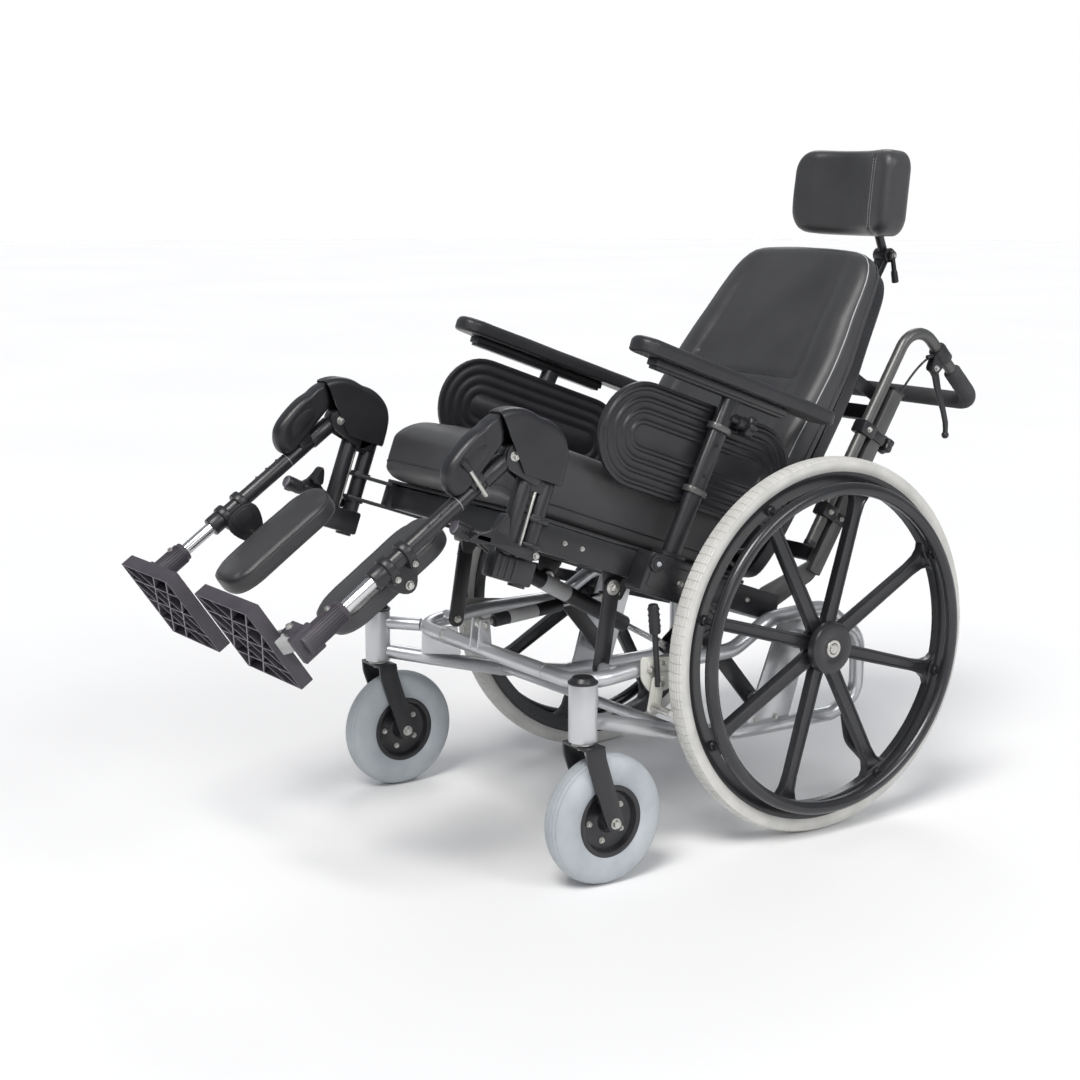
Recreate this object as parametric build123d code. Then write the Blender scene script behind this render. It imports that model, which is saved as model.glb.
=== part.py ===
from build123d import *
from math import atan2, cos, hypot, pi, radians, sin, sqrt, tan
import os

# A tilt-in-space wheelchair with recline, elevating leg rests and mag wheels.
# X runs across the chair (+X is the sitter's left), the sitter faces -Y, and Z is up.
# Every part is drawn from the rear axle line (Y = 0, floor at Z = 0) and moved back
# by AXLE_BEHIND_MIDDLE at the end, so the origin lies on the floor under the middle.
AXLE_BEHIND_MIDDLE = 258.6

# ---- fits
RUN = 0.05                # radial clearance of a pin that turns in its hole
SLIP = 0.5                # gap between flat pieces that pass each other

# ---- sections: bent tubes and small bars have flat sides, to keep their facets few
TUBE_SIDES = 8
BOLT_SIDES = 6
HOLE_SIDES = 12
WHEEL_SIDES = 48
HUB_SIDES = 24
CASTER_SIDES = 32
BEND_STEP = 0.55          # how far each short run of a bend turns, in radians

# ---- rear wheels
TYRE_RADIUS = 305.0       # 24 inch wheel
TYRE_WIDTH = 33.0
WHEEL_X = 300.0           # middle of each rear wheel
TYRE_DEPTH = 23.0         # tread down to the rim
RIM_RADIUS = TYRE_RADIUS - TYRE_DEPTH
RIM_WIDTH = 26.0
RIM_DEPTH = 26.0
SPOKES = 8
SPOKE_PHASE = 28.3
SPOKE_WIDTH = 24.0
SPOKE_DEPTH = 15.0
SPOKE_GROOVE = 3.0
HUB_RADIUS = 27.0
HUB_BACK = 24.0           # hub's inner end, measured from the wheel's middle
HUB_CAP_RADIUS = 42.0
HUB_CAP_X = 12.0          # hub cap's back, measured from the wheel's middle
HUB_CAP_DEPTH = 16.0
AXLE_RADIUS = 8.0
PUSH_RIM_DROP = 24.0      # how far the push rim lies inside the rim
PUSH_RIM_RADIUS = RIM_RADIUS - PUSH_RIM_DROP
PUSH_RIM_TUBE = 10.5
PUSH_RIM_X = 36.0         # push rim's middle, measured from the wheel's middle
STANDOFF_RADIUS = 6.0

# ---- casters
CASTER_RADIUS = 100.0
CASTER_WIDTH = 48.0
CASTER_RIM_RADIUS = 56.0
RIM_SIDES = 24
CASTER_X = 299.0
CASTER_PIVOT_Y = -472.0
CASTER_TRAIL = 38.0
FORK_TOP = 222.0
FORK_PLATE = 5.0
FORK_WIDTH = 32.0
CASTER_GAP = 3.0          # tyre to fork leg
STEM_RADIUS = 8.0
HOUSING_RADIUS = 21.5
HOUSING_BOTTOM = 226.0
HOUSING_TOP = 323.0
CASTER_AXLE_RADIUS = 5.0

# ---- base frame
FRAME_X = 240.0
FRAME_TUBE = 12.5
FRONT_TUBE_Y = -430.0
FRONT_TUBE_Z = 292.0
PLATE = 5.0
FRONT_TUBE_END = 150.0
LOOP_END = 138.0
REAR_TUBE = (132.0, 284.0)
SLEEVE_RADIUS = 16.0

# ---- wheel locks
LOCK_X = 262.0
LOCK_INSIDE = 2.0         # lock pivot, this far behind the tyre's front edge
LOCK_PIVOT = (LOCK_INSIDE - TYRE_RADIUS, 281.0)
LOCK_PIN = 5.0

# ---- tilt linkage, as (Y, Z) at the tilt of the photograph
SEAT_TILT = 20.0
FRONT_LINK_LOW = (-371.0, 302.0)
REAR_LINK_LOW = (-61.0, 207.0)
FRONT_LINK_X = 206.0
REAR_LINK_X = 200.0
LINK_THICK = 6.0
LINK_WIDTH = 28.0
LINK_PIN = 6.0

# ---- gas springs: one under the seat for the tilt, one for the recline
TILT_X = -40.0
TILT_LOW = (-429.0, 333.0)
RECLINE_X = 35.0
SPRING_PIN = 5.0
SPRING_EYE = 9.0
ROD_RADIUS = 5.0
TILT_CYLINDER = 11.0
RECLINE_CYLINDER = 13.5
TILT_INWARD = 10.0        # bore left below each rod, for the rod to sink into
RECLINE_INWARD = 52.0

# ---- seat, in the seat's own frame: y runs back along the seat, z square to it
SEAT_Y = -349.0
SEAT_Z = 441.0
FRONT_LINK_HIGH = (4.0, -14.0)
REAR_LINK_HIGH = (184.0, -26.0)
TILT_HIGH = (205.0, -20.0)
RECLINE_LOW = (-52.0, -26.0)
RAIL_X = 212.5
RAIL_WIDTH = 25.0
RAIL_BOTTOM = 6.0
RAIL_TOP = 50.0
RAIL_FRONT = -170.0
RAIL_REAR = 330.0
RAIL_WALL = 2.5
CROSS_MEMBERS = (-150.0, 60.0, 215.0)
CROSS_DEPTH = 30.0
PAN_THICK = 6.0
PAN_REAR = 245.0
CUSHION_HALF = 202.0
CUSHION_FRONT = -215.0
CUSHION_REAR = 232.0
CUSHION_THICK = 108.0

# ---- arm rests
POST_X = 242.0
POST_Y = 60.0
POST_LEAN = 6.5
POST_DEPTH = 32.0
POST_THICK = 20.0
SOCKET_BOTTOM = -10.0
SOCKET_TOP = 55.0
SOCKET_HALF = 50.0
CLAMP_HEIGHTS = (164.0, 269.0)
KNOB_HEIGHT = 288.0
KNOB_ASIDE = 8.0
PAD_FRONT = -112.0
PAD_REAR = 300.0
PAD_WIDTH = 60.0
PAD_TOP = 357.0
PAD_THICK = 25.0
PANEL_X = 224.0
PANEL_FRONT = -120.0
PANEL_REAR = 275.0
PANEL_BOTTOM = 138.0
PANEL_HEIGHT = 162.0
PANEL_THICK = 8.0
RIB_RISE = 3.0
RIB_PITCH = 17.0
RIB_WIDTH = 8.0
RIBS = 4

# ---- back, in its own frame: y square to the back (+ behind it), z up along it
BACK_LEAN = 12.0
RECLINE_Y = 318.0
RECLINE_Z = 30.0
BACK_HALF = 205.0
BACK_CORNER = 90.0
BACK_TAPER = 34.0         # how much narrower each side is at the top
BACK_FRONT = -88.0
BACK_BOTTOM = 60.0
BACK_TOP = 621.0
BACK_CUSHION_REAR = -40.0
SHELL_REAR = -12.0
SHELL_WALL = 4.0
CANE_X = 200.0
BACK_PIN = 8.0
CANE_Y = 40.0
CANE_TUBE = 10.0
CANE_LOW = 130.0
CANE_TOP = 556.0
PROFILE_Y = 70.0
PROFILE_TOP = 430.0
CANE_CLAMPS = (190.0, 344.0)
SHELL_BRACKETS = (230.0, 400.0)
BACK_BARS = (122.0, 385.0)
HEAD_STEM_Y = 92.0
STEM_WIDTH = 25.0
ARM_END_Y = 245.0
ARM_END_Z = 505.0
GRIP_TUBE = 15.0
GRIP_START = 0.62         # where along the side arm the foam begins
CABLE_RADIUS = 2.0
CABLE_SIDES = 6
CABLE_IN = 178.0          # where each cable ends, beside the cane
CABLE_END = 262.0
RECLINE_LEVER = 115.0
LEVER_PIN = 4.0

# ---- head rest
HEAD_Y = 352.0            # middle of the pad's back, from the axle
HEAD_Z = 1013.0
HEAD_LEAN = 6.0
HEAD_HALF = 120.0
HEAD_HEIGHT = 147.0
HEAD_THICK = 40.0
HEAD_WING = 38.0
HEAD_BACK = 12.0

# ---- leg rests
HANGER_X = 255.0
HANGER_TUBE = 13.0
HANGER_FRONT_Y = -244.0
HANGER_REAR_Y = -206.0
HANGER_TOP = 112.0
KNEE_HALF = 17.0          # half the width inside the knee's cover
KNEE_WALL = 2.5
KNEE_ROUND = 69.5
KNEE_PIN = 7.0
LATCH_PIVOT = (-206.0, -3.0)
LATCH_OUT = 20.0          # latch lever's inner face, beside the uprights
KNEE_Y = -282.0
KNEE_Z = 124.0
LEG_DROP = 54.8           # leg tube below the seat's line
LEG_TUBE = 12.5
LEG_LENGTH = 275.0
EXTENSION_TUBE = 9.5
EXTENSION_OUT = 57.0
FOOT_ALONG = 412.0
FOOT_WIDTH = 165.0
FOOT_LENGTH = 142.0
FOOT_THICK = 22.0
FOOT_OUTER_X = 212.0
FOOT_WALL = 3.0
FOOT_RIB_TURN = 42.0
FOOT_RIB_PITCH = 60.0
FOOT_PIN = 5.0
FOOT_PIN_X = 228.0
FOOT_PIN_Y = -400.0
FOOT_BARREL = 13.0        # half the length of the hinge's barrel
FOOT_CHEEK = 22.0
CALF_ALONG = 228.0
CALF_X = 165.0
CALF_LENGTH = 222.0
CALF_WIDTH = 104.0
CALF_THICK = 42.0
CALF_RINGS = (213.0, 247.0)
CALF_PIVOT_Z = -52.0
CALF_PIN = 6.0
CALF_DROP = -30.0         # pad's top below the leg tube's centre


# ---------------------------------------------------------------- frames
def seat_frame_at():
    return Location((0, SEAT_Y, SEAT_Z), (-SEAT_TILT, 0, 0))


def back_frame_at():
    return seat_frame_at() * Location((0, RECLINE_Y, RECLINE_Z), (-BACK_LEAN, 0, 0))


def leg_frame_at():
    # its y runs up the leg tube towards the knee, its z square to it, upwards
    return seat_frame_at() * Location((0, KNEE_Y, KNEE_Z), (LEG_DROP, 0, 0))


# ---------------------------------------------------------------- helpers
def block(x0, x1, y0, y1, z0, z1):
    centre = Pos((x0 + x1) / 2, (y0 + y1) / 2, (z0 + z1) / 2)
    return centre * Box(abs(x1 - x0), abs(y1 - y0), abs(z1 - z0))


def section(radius, sides=0):
    """A circle, or a polygon of the same area."""
    if not sides:
        return Circle(radius)
    turn = 2 * pi / sides
    return RegularPolygon(radius * sqrt(turn / sin(turn)), sides)


def rod(start, end, radius, sides=0):
    """A round bar, or one with flat sides, between two points."""
    start, end = Vector(start), Vector(end)
    plane = Plane(origin=start, z_dir=end - start)
    return extrude(plane * section(radius, sides), (end - start).length)


def across(x0, x1, y, z, radius, sides=0):
    return rod((x0, y, z), (x1, y, z), radius, sides)


def hole(start, end, radius):
    """A hole whose flats leave a round pin of this radius free to turn."""
    start, end = Vector(start), Vector(end)
    plane = Plane(origin=start, z_dir=end - start)
    flats = RegularPolygon((radius + RUN) / cos(pi / HOLE_SIDES), HOLE_SIDES)
    return extrude(plane * flats, (end - start).length)


def hole_across(x0, x1, y, z, radius):
    return hole((x0, y, z), (x1, y, z), radius)


def bend_points(before, corner, after, radius):
    """Points that take a bent tube round one corner in short straight steps."""
    arrive = (Vector(corner) - Vector(before)).normalized()
    leave = (Vector(after) - Vector(corner)).normalized()
    turn = radians(arrive.get_angle(leave))
    steps = max(1, round(turn / BEND_STEP))
    reach = radius * tan(turn / 2)
    first = Vector(corner) - arrive * reach
    inward = (leave - arrive * cos(turn)) * (1 / sin(turn))
    centre = first + inward * radius
    points = []
    for step in range(steps):
        angle = turn * (step + 0.5) / steps
        stretch = radius / cos(turn / steps / 2)
        points.append(centre + arrive * (stretch * sin(angle)) - inward * (stretch * cos(angle)))
    return points


def bent_tube(points, bends, radius, sides=TUBE_SIDES):
    """A tube along straight runs, with a bend of the given radius at each corner."""
    route = [Vector(points[0])]
    for before, corner, after, bend in zip(points, points[1:], points[2:], bends):
        route += bend_points(before, corner, after, bend)
    path = Polyline(*route, Vector(points[-1]))
    start = Plane(origin=path @ 0, z_dir=path % 0)
    return sweep(start * section(radius, sides), path=path, transition=Transition.RIGHT)


def arc_points(centre, radius, first, last, steps):
    """Points along an arc, by angle in degrees from the outline's first axis."""
    points = []
    for step in range(steps + 1):
        angle = radians(first + (last - first) * step / steps)
        points.append((centre[0] + radius * cos(angle), centre[1] + radius * sin(angle)))
    return points


def rounded(points, radii):
    """A closed outline of lines and arcs. Each arc is kept small enough for its two sides."""
    corners = [Vector(*point) for point in points]
    if not isinstance(radii, (list, tuple)):
        radii = [radii] * len(corners)
    fitted = []
    for index, corner in enumerate(corners):
        before = corners[index - 1] - corner
        after = corners[(index + 1) % len(corners)] - corner
        half_turn = (pi - radians(before.get_angle(after))) / 2
        room = 0.47 * min(before.length, after.length)
        fitted.append(min(radii[index], room / max(tan(half_turn), 0.001)))
    return make_face(FilletPolyline(*points, radius=fitted, close=True))


def side_plate(points, x0, x1, corner=0.0):
    """A flat piece with its outline in Y and Z, from x0 to x1."""
    if corner:
        outline = rounded(points, corner)
    else:
        outline = make_face(Polyline(*points, close=True))
    return extrude(Plane.YZ.offset(min(x0, x1)) * outline, abs(x1 - x0))


def from_behind(outline, y, length):
    """A body that runs forward from y, with its outline in X and Z."""
    plane = Plane(origin=(0, y, 0), x_dir=(1, 0, 0), z_dir=(0, -1, 0))
    return extrude(plane * outline, length)


def flat_sided(corners, sides):
    """A body about X whose flat sides lie at the given (x, radius) corners; one side faces the floor."""
    sections = []
    for x, radius in corners:
        plane = Plane(origin=(x, 0, 0), x_dir=(0, 1, 0), z_dir=(1, 0, 0))
        outline = RegularPolygon(radius / cos(pi / sides), sides)
        sections.append(plane * Rot(0, 0, 180 / sides) * outline)
    return loft(sections, ruled=True)


def ring(outside, inside, sides):
    """A ring about X with flat sides, from the (x, radius) corners of its outside and its hole."""
    first = inside[0]
    last = inside[-1]
    through = [(first[0] - 1, first[1])] + inside + [(last[0] + 1, last[1])]
    return flat_sided(outside, sides) - flat_sided(through, sides)


def right_of(part):
    return mirror(part, about=Plane.YZ)


def save(name, part):
    part = Pos(0, AXLE_BEHIND_MIDDLE, 0) * part
    part.label = name
    export_step(part, f"parts/{name}.step")


def save_pair(name, part):
    save(name + "_left", part)
    save(name + "_right", right_of(part))


# ---------------------------------------------------------------- rear wheels
def at_axle(part):
    return Pos(WHEEL_X, 0, TYRE_RADIUS) * part


def rear_tyre():
    half = TYRE_WIDTH / 2
    outside = [(-half, TYRE_RADIUS - 9), (-half / 2, TYRE_RADIUS), (half / 2, TYRE_RADIUS),
               (half, TYRE_RADIUS - 9)]
    inside = [(-half, RIM_RADIUS), (half, RIM_RADIUS)]
    return at_axle(ring(outside, inside, WHEEL_SIDES))


def spoke_end_radius():
    return RIM_RADIUS - RIM_DEPTH + 1


def rear_wheel():
    half = RIM_WIDTH / 2
    inner = RIM_RADIUS - RIM_DEPTH
    outside = [(-half, RIM_RADIUS), (half, RIM_RADIUS)]
    wheel = ring(outside, [(-half, inner), (half, inner)], WHEEL_SIDES)
    wheel = wheel + across(-HUB_BACK, HUB_CAP_X, 0, 0, HUB_RADIUS, HUB_SIDES)
    start = HUB_RADIUS / 2
    spoke = Pos(0, (inner + 1 + start) / 2, 0) * Box(SPOKE_DEPTH, inner + 1 - start, SPOKE_WIDTH)
    first = HUB_CAP_RADIUS + 6
    last = inner - 12
    groove = Box(SPOKE_GROOVE, last - first, SPOKE_WIDTH / 2)
    groove = Pos((SPOKE_DEPTH - SPOKE_GROOVE) / 2, (first + last) / 2, 0) * groove
    spoke = spoke - groove
    for index in range(SPOKES):
        wheel = wheel + Rot(SPOKE_PHASE + index * 360 / SPOKES, 0, 0) * spoke
    face = HUB_CAP_X + HUB_CAP_DEPTH
    wheel = wheel + across(HUB_CAP_X, face, 0, 0, HUB_CAP_RADIUS, HUB_SIDES)
    wheel = wheel - hole_across(-HUB_BACK - 1, face + 1, 0, 0, AXLE_RADIUS)
    return at_axle(wheel)


def push_rim():
    x, r, t = PUSH_RIM_X, PUSH_RIM_RADIUS, PUSH_RIM_TUBE
    aside = t * cos(pi / 6)
    outside = [(x - aside, r + t / 2), (x, r + t), (x + aside, r + t / 2)]
    inside = [(x - aside, r - t / 2), (x, r - t), (x + aside, r - t / 2)]
    rim = ring(outside, inside, WHEEL_SIDES)
    face = RIM_WIDTH / 2
    reach = PUSH_RIM_X - PUSH_RIM_TUBE * 0.6
    height = RIM_RADIUS - RIM_DEPTH / 2
    tab = rod((face - 5, height, 0), (reach, PUSH_RIM_RADIUS, 0), STANDOFF_RADIUS, 4)
    tab = tab - block(-face, face, height - 30, height + 30, -30, 30)
    for index in range(SPOKES):
        rim = rim + Rot(SPOKE_PHASE + index * 360 / SPOKES, 0, 0) * tab
    return at_axle(rim)


# ---------------------------------------------------------------- casters
def caster_axle_y():
    return CASTER_PIVOT_Y + CASTER_TRAIL


def caster_tyre():
    half = CASTER_WIDTH / 2
    outside = [(-half, CASTER_RADIUS - 12), (2 - half / 2, CASTER_RADIUS),
               (half / 2 - 2, CASTER_RADIUS), (half, CASTER_RADIUS - 12)]
    inside = [(-half, CASTER_RIM_RADIUS), (half, CASTER_RIM_RADIUS)]
    return Pos(CASTER_X, caster_axle_y(), CASTER_RADIUS) * ring(outside, inside, CASTER_SIDES)


def caster_rim():
    half = CASTER_WIDTH / 2
    rim = across(5 - half, half - 5, 0, 0, CASTER_RIM_RADIUS - 0.4, RIM_SIDES)
    for side in (-1, 1):
        rim = rim - across(side * 9, side * half, 0, 0, CASTER_RIM_RADIUS - 8, RIM_SIDES)
    rim = rim + across(-half, half, 0, 0, 15, 8)
    rim = rim - hole_across(-half - 1, half + 1, 0, 0, CASTER_AXLE_RADIUS)
    return Pos(CASTER_X, caster_axle_y(), CASTER_RADIUS) * rim


def caster_fork():
    inside = CASTER_WIDTH / 2 + CASTER_GAP
    outside = inside + FORK_PLATE
    half = FORK_WIDTH / 2
    axle_y = CASTER_TRAIL
    leg = side_plate([(-half, FORK_TOP), (half + 4, FORK_TOP), (axle_y + half - 3, CASTER_RADIUS),
                      (axle_y, CASTER_RADIUS - half + 2), (axle_y - half + 3, CASTER_RADIUS)],
                     inside, outside)
    fork = leg + mirror(leg, about=Plane.YZ)
    fork = fork + block(-outside, outside, -half, half + 4, FORK_TOP - FORK_PLATE, FORK_TOP)
    fork = fork + rod((0, 0, FORK_TOP - 1), (0, 0, HOUSING_TOP - 6), STEM_RADIUS)
    fork = fork + rod((0, 0, FORK_TOP - 1), (0, 0, HOUSING_BOTTOM - SLIP), 15, 8)
    fork = fork + across(-inside - 1, inside + 1, axle_y, CASTER_RADIUS, CASTER_AXLE_RADIUS)
    for side in (-1, 1):
        fork = fork + across(side * (outside - 1), side * (outside + 5), axle_y, CASTER_RADIUS, 9,
                             BOLT_SIDES)
    return Pos(CASTER_X, CASTER_PIVOT_Y, 0) * fork


# ---------------------------------------------------------------- base frame
def side_tube():
    """The long bent tube of one side, from the front cross tube round to the caster housing."""
    x = FRAME_X
    points = [(FRONT_TUBE_END, FRONT_TUBE_Y, FRONT_TUBE_Z), (x, FRONT_TUBE_Y, FRONT_TUBE_Z),
              (x, -289, 304), (x, -135, 304), (x, -60, 345), (x, 60, 350), (x, LOOP_END, 290),
              (x, LOOP_END, 190), (x, 80, 166), (x, -124, 168), (x, -258, 191), (x, -404, 232),
              (CASTER_X - 8, CASTER_PIVOT_Y + 8, 243)]
    bends = [50, 60, 60, 60, 60, 45, 40, 45, 60, 60, 50]
    return bent_tube(points, bends, FRAME_TUBE)


def side_frame():
    x = FRAME_X
    frame = side_tube()
    frame = frame + rod((CASTER_X, CASTER_PIVOT_Y, HOUSING_BOTTOM),
                        (CASTER_X, CASTER_PIVOT_Y, HOUSING_TOP), HOUSING_RADIUS)
    frame = frame + rod((x - 4, FRONT_TUBE_Y + 12, FRONT_TUBE_Z),
                        (CASTER_X, CASTER_PIVOT_Y, FRONT_TUBE_Z), FRAME_TUBE - 1.5, TUBE_SIDES)
    run = hypot(CASTER_X - x, CASTER_PIVOT_Y - FRONT_TUBE_Y)
    gusset = Plane(origin=(x, FRONT_TUBE_Y + 12, 265),
                   x_dir=(CASTER_X - x, CASTER_PIVOT_Y - FRONT_TUBE_Y, 0),
                   z_dir=(CASTER_PIVOT_Y - FRONT_TUBE_Y, x - CASTER_X, 0))
    frame = frame + gusset * (Pos(run / 2, 0, 0) * Box(run, 52, PLATE - 1))
    # plate that carries the axle and the rear link
    frame = frame + side_plate([(-108, 168), (-18, 166), (44, 350), (-34, 348)],
                               x - PLATE / 2, x + PLATE / 2)
    frame = frame + across(x, WHEEL_X - HUB_BACK - SLIP, 0, TYRE_RADIUS, SLEEVE_RADIUS, 12)
    frame = frame + across(x, WHEEL_X + HUB_CAP_X + HUB_CAP_DEPTH + 3, 0, TYRE_RADIUS, AXLE_RADIUS)
    # pins of the two links, each with a collar behind the link
    for link_x, pivot in ((FRONT_LINK_X, FRONT_LINK_LOW), (REAR_LINK_X, REAR_LINK_LOW)):
        inside = link_x - LINK_THICK / 2
        outside = link_x + LINK_THICK / 2 + SLIP
        frame = frame + across(inside - 2, outside + 1, *pivot, LINK_PIN)
        frame = frame + across(outside, x, *pivot, 10, TUBE_SIDES)
    return frame - hole((CASTER_X, CASTER_PIVOT_Y, HOUSING_BOTTOM - 1),
                        (CASTER_X, CASTER_PIVOT_Y, HOUSING_TOP - 4), STEM_RADIUS)


def both_side_tubes():
    tube = side_tube()
    return tube + right_of(tube)


def cross_tubes(side_tubes):
    end = FRONT_TUBE_END
    front = rod((-end, FRONT_TUBE_Y, FRONT_TUBE_Z), (end, FRONT_TUBE_Y, FRONT_TUBE_Z), FRAME_TUBE,
                TUBE_SIDES)
    for x in (TILT_X - 13, TILT_X + 9):
        front = front + side_plate([(FRONT_TUBE_Y - 14, FRONT_TUBE_Z), (FRONT_TUBE_Y + 14, FRONT_TUBE_Z),
                                    (TILT_LOW[0] + 9, TILT_LOW[1] + 9),
                                    (TILT_LOW[0] - 9, TILT_LOW[1] + 9)], x, x + 4)
    front = front + across(TILT_X - 15, TILT_X + 15, *TILT_LOW, SPRING_PIN)
    rear = across(-FRAME_X, FRAME_X, *REAR_TUBE, FRAME_TUBE - 1.5, TUBE_SIDES)
    return front + (rear - side_tubes)


def anti_tippers(side_tubes):
    x = FRAME_X
    bar = bent_tube([(x, 112, 168), (x, 124, 112), (x, 184, 54)], [40], 8)
    bar = bar + rod((x, 174, 64), (x, 196, 42), 12, TUBE_SIDES)
    return (bar + right_of(bar)) - side_tubes


def lock_brackets(side_tubes):
    y, z = LOCK_PIVOT
    plate = side_plate([(y - 30, z + 44), (y + 72, z + 30), (y + 72, z + 8), (y + 18, z - 16),
                        (y - 12, z - 16), (y - 30, z + 8)], LOCK_X - 6, LOCK_X - 2)
    plate = plate + across(LOCK_X - 3, LOCK_X + 12, y, z, LOCK_PIN)
    for bolt_y in (y - 14, y + 52):
        plate = plate + across(FRAME_X, LOCK_X - 0.5, bolt_y, z + 22, 5, BOLT_SIDES)
    return (plate + right_of(plate)) - side_tubes


def lock_lever():
    y, z = LOCK_PIVOT
    lever = side_plate([(y - 11, z + 11), (y + 11, z + 11), (y + 3, z - 44), (y - 22, z - 44)],
                       LOCK_X - 1.5, LOCK_X + 4)
    lever = lever + across(LOCK_X + 2, LOCK_X + 50, y - 12, z - 36, 6, TUBE_SIDES)
    x = LOCK_X + 6
    lever = lever + rod((x, y - 5, z - 4), (x, y - 12, z + 84), 4.5, BOLT_SIDES)
    lever = lever + rod((x, y - 11, z + 80), (x, y - 16, z + 128), 9, TUBE_SIDES)
    return lever - hole_across(LOCK_X - 3, LOCK_X + 14, y, z, LOCK_PIN)


# ---------------------------------------------------------------- tilt linkage
def in_seat(y, z):
    """Y and Z of a point given in the seat's frame."""
    point = (seat_frame_at() * Pos(0, y, z)).position
    return point.Y, point.Z


def in_back(y, z):
    point = (back_frame_at() * Pos(0, y, z)).position
    return point.Y, point.Z


def link_bar(low, high, x):
    """A flat bar with round ends between two pivots."""
    run = Vector(0, high[0] - low[0], high[1] - low[1])
    plane = Plane(origin=(x - LINK_THICK / 2, *low), x_dir=run, z_dir=(1, 0, 0))
    half = LINK_WIDTH / 2
    outline = arc_points((0, 0), half, 90, 270, 4) + arc_points((run.length, 0), half, -90, 90, 4)
    return extrude(plane * make_face(Polyline(*outline, close=True)), LINK_THICK)


def front_links():
    low = FRONT_LINK_LOW
    high = in_seat(*FRONT_LINK_HIGH)
    x = FRONT_LINK_X
    bar = link_bar(low, high, x)
    bar = bar - hole_across(x - 10, x + 10, *low, LINK_PIN)
    bar = bar + across(x + LINK_THICK / 2 - 1, x + LINK_THICK / 2 + 7, *high, 10, BOLT_SIDES)
    return bar + right_of(bar)


def rear_links():
    x = REAR_LINK_X
    high = in_seat(*REAR_LINK_HIGH)
    bar = link_bar(REAR_LINK_LOW, high, x)
    for end in (REAR_LINK_LOW, high):
        bar = bar - hole_across(x - 10, x + 10, *end, LINK_PIN)
    return bar + right_of(bar)


def spring_pair(low, high, x, body_share, radius, inward):
    """Cylinder and rod of a gas spring between two pivots in the YZ plane.

    Inward is how far the rod can still sink from where it stands."""
    start = Vector(x, *low)
    end = Vector(x, *high)
    length = (end - start).length
    run = (end - start) * (1 / length)
    mouth = start + run * (length * body_share)
    floor = length * (2 * body_share - 1) + 12
    cylinder = across(x - 6, x + 6, *low, SPRING_EYE, TUBE_SIDES)
    cylinder = cylinder + rod(start + run * 4, start + run * 26, 6, BOLT_SIDES)
    cylinder = cylinder + rod(start + run * 24, mouth, radius, 12)
    cylinder = cylinder - hole_across(x - 8, x + 8, *low, SPRING_PIN)
    cylinder = cylinder - hole(start + run * max(30, floor - inward), mouth + run, ROD_RADIUS)
    piston = rod(start + run * max(34, floor), end - run * 4, ROD_RADIUS)
    piston = piston + across(x - 6, x + 6, *high, SPRING_EYE, TUBE_SIDES)
    return cylinder, piston


# ---------------------------------------------------------------- seat
def box_tube_y(x, y0, y1, z0, z1, width, wall):
    outside = block(x - width / 2, x + width / 2, y0, y1, z0, z1)
    inside = block(x - width / 2 + wall, x + width / 2 - wall, y0 - 1, y1 + 1, z0 + wall, z1 - wall)
    return outside - inside


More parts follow.
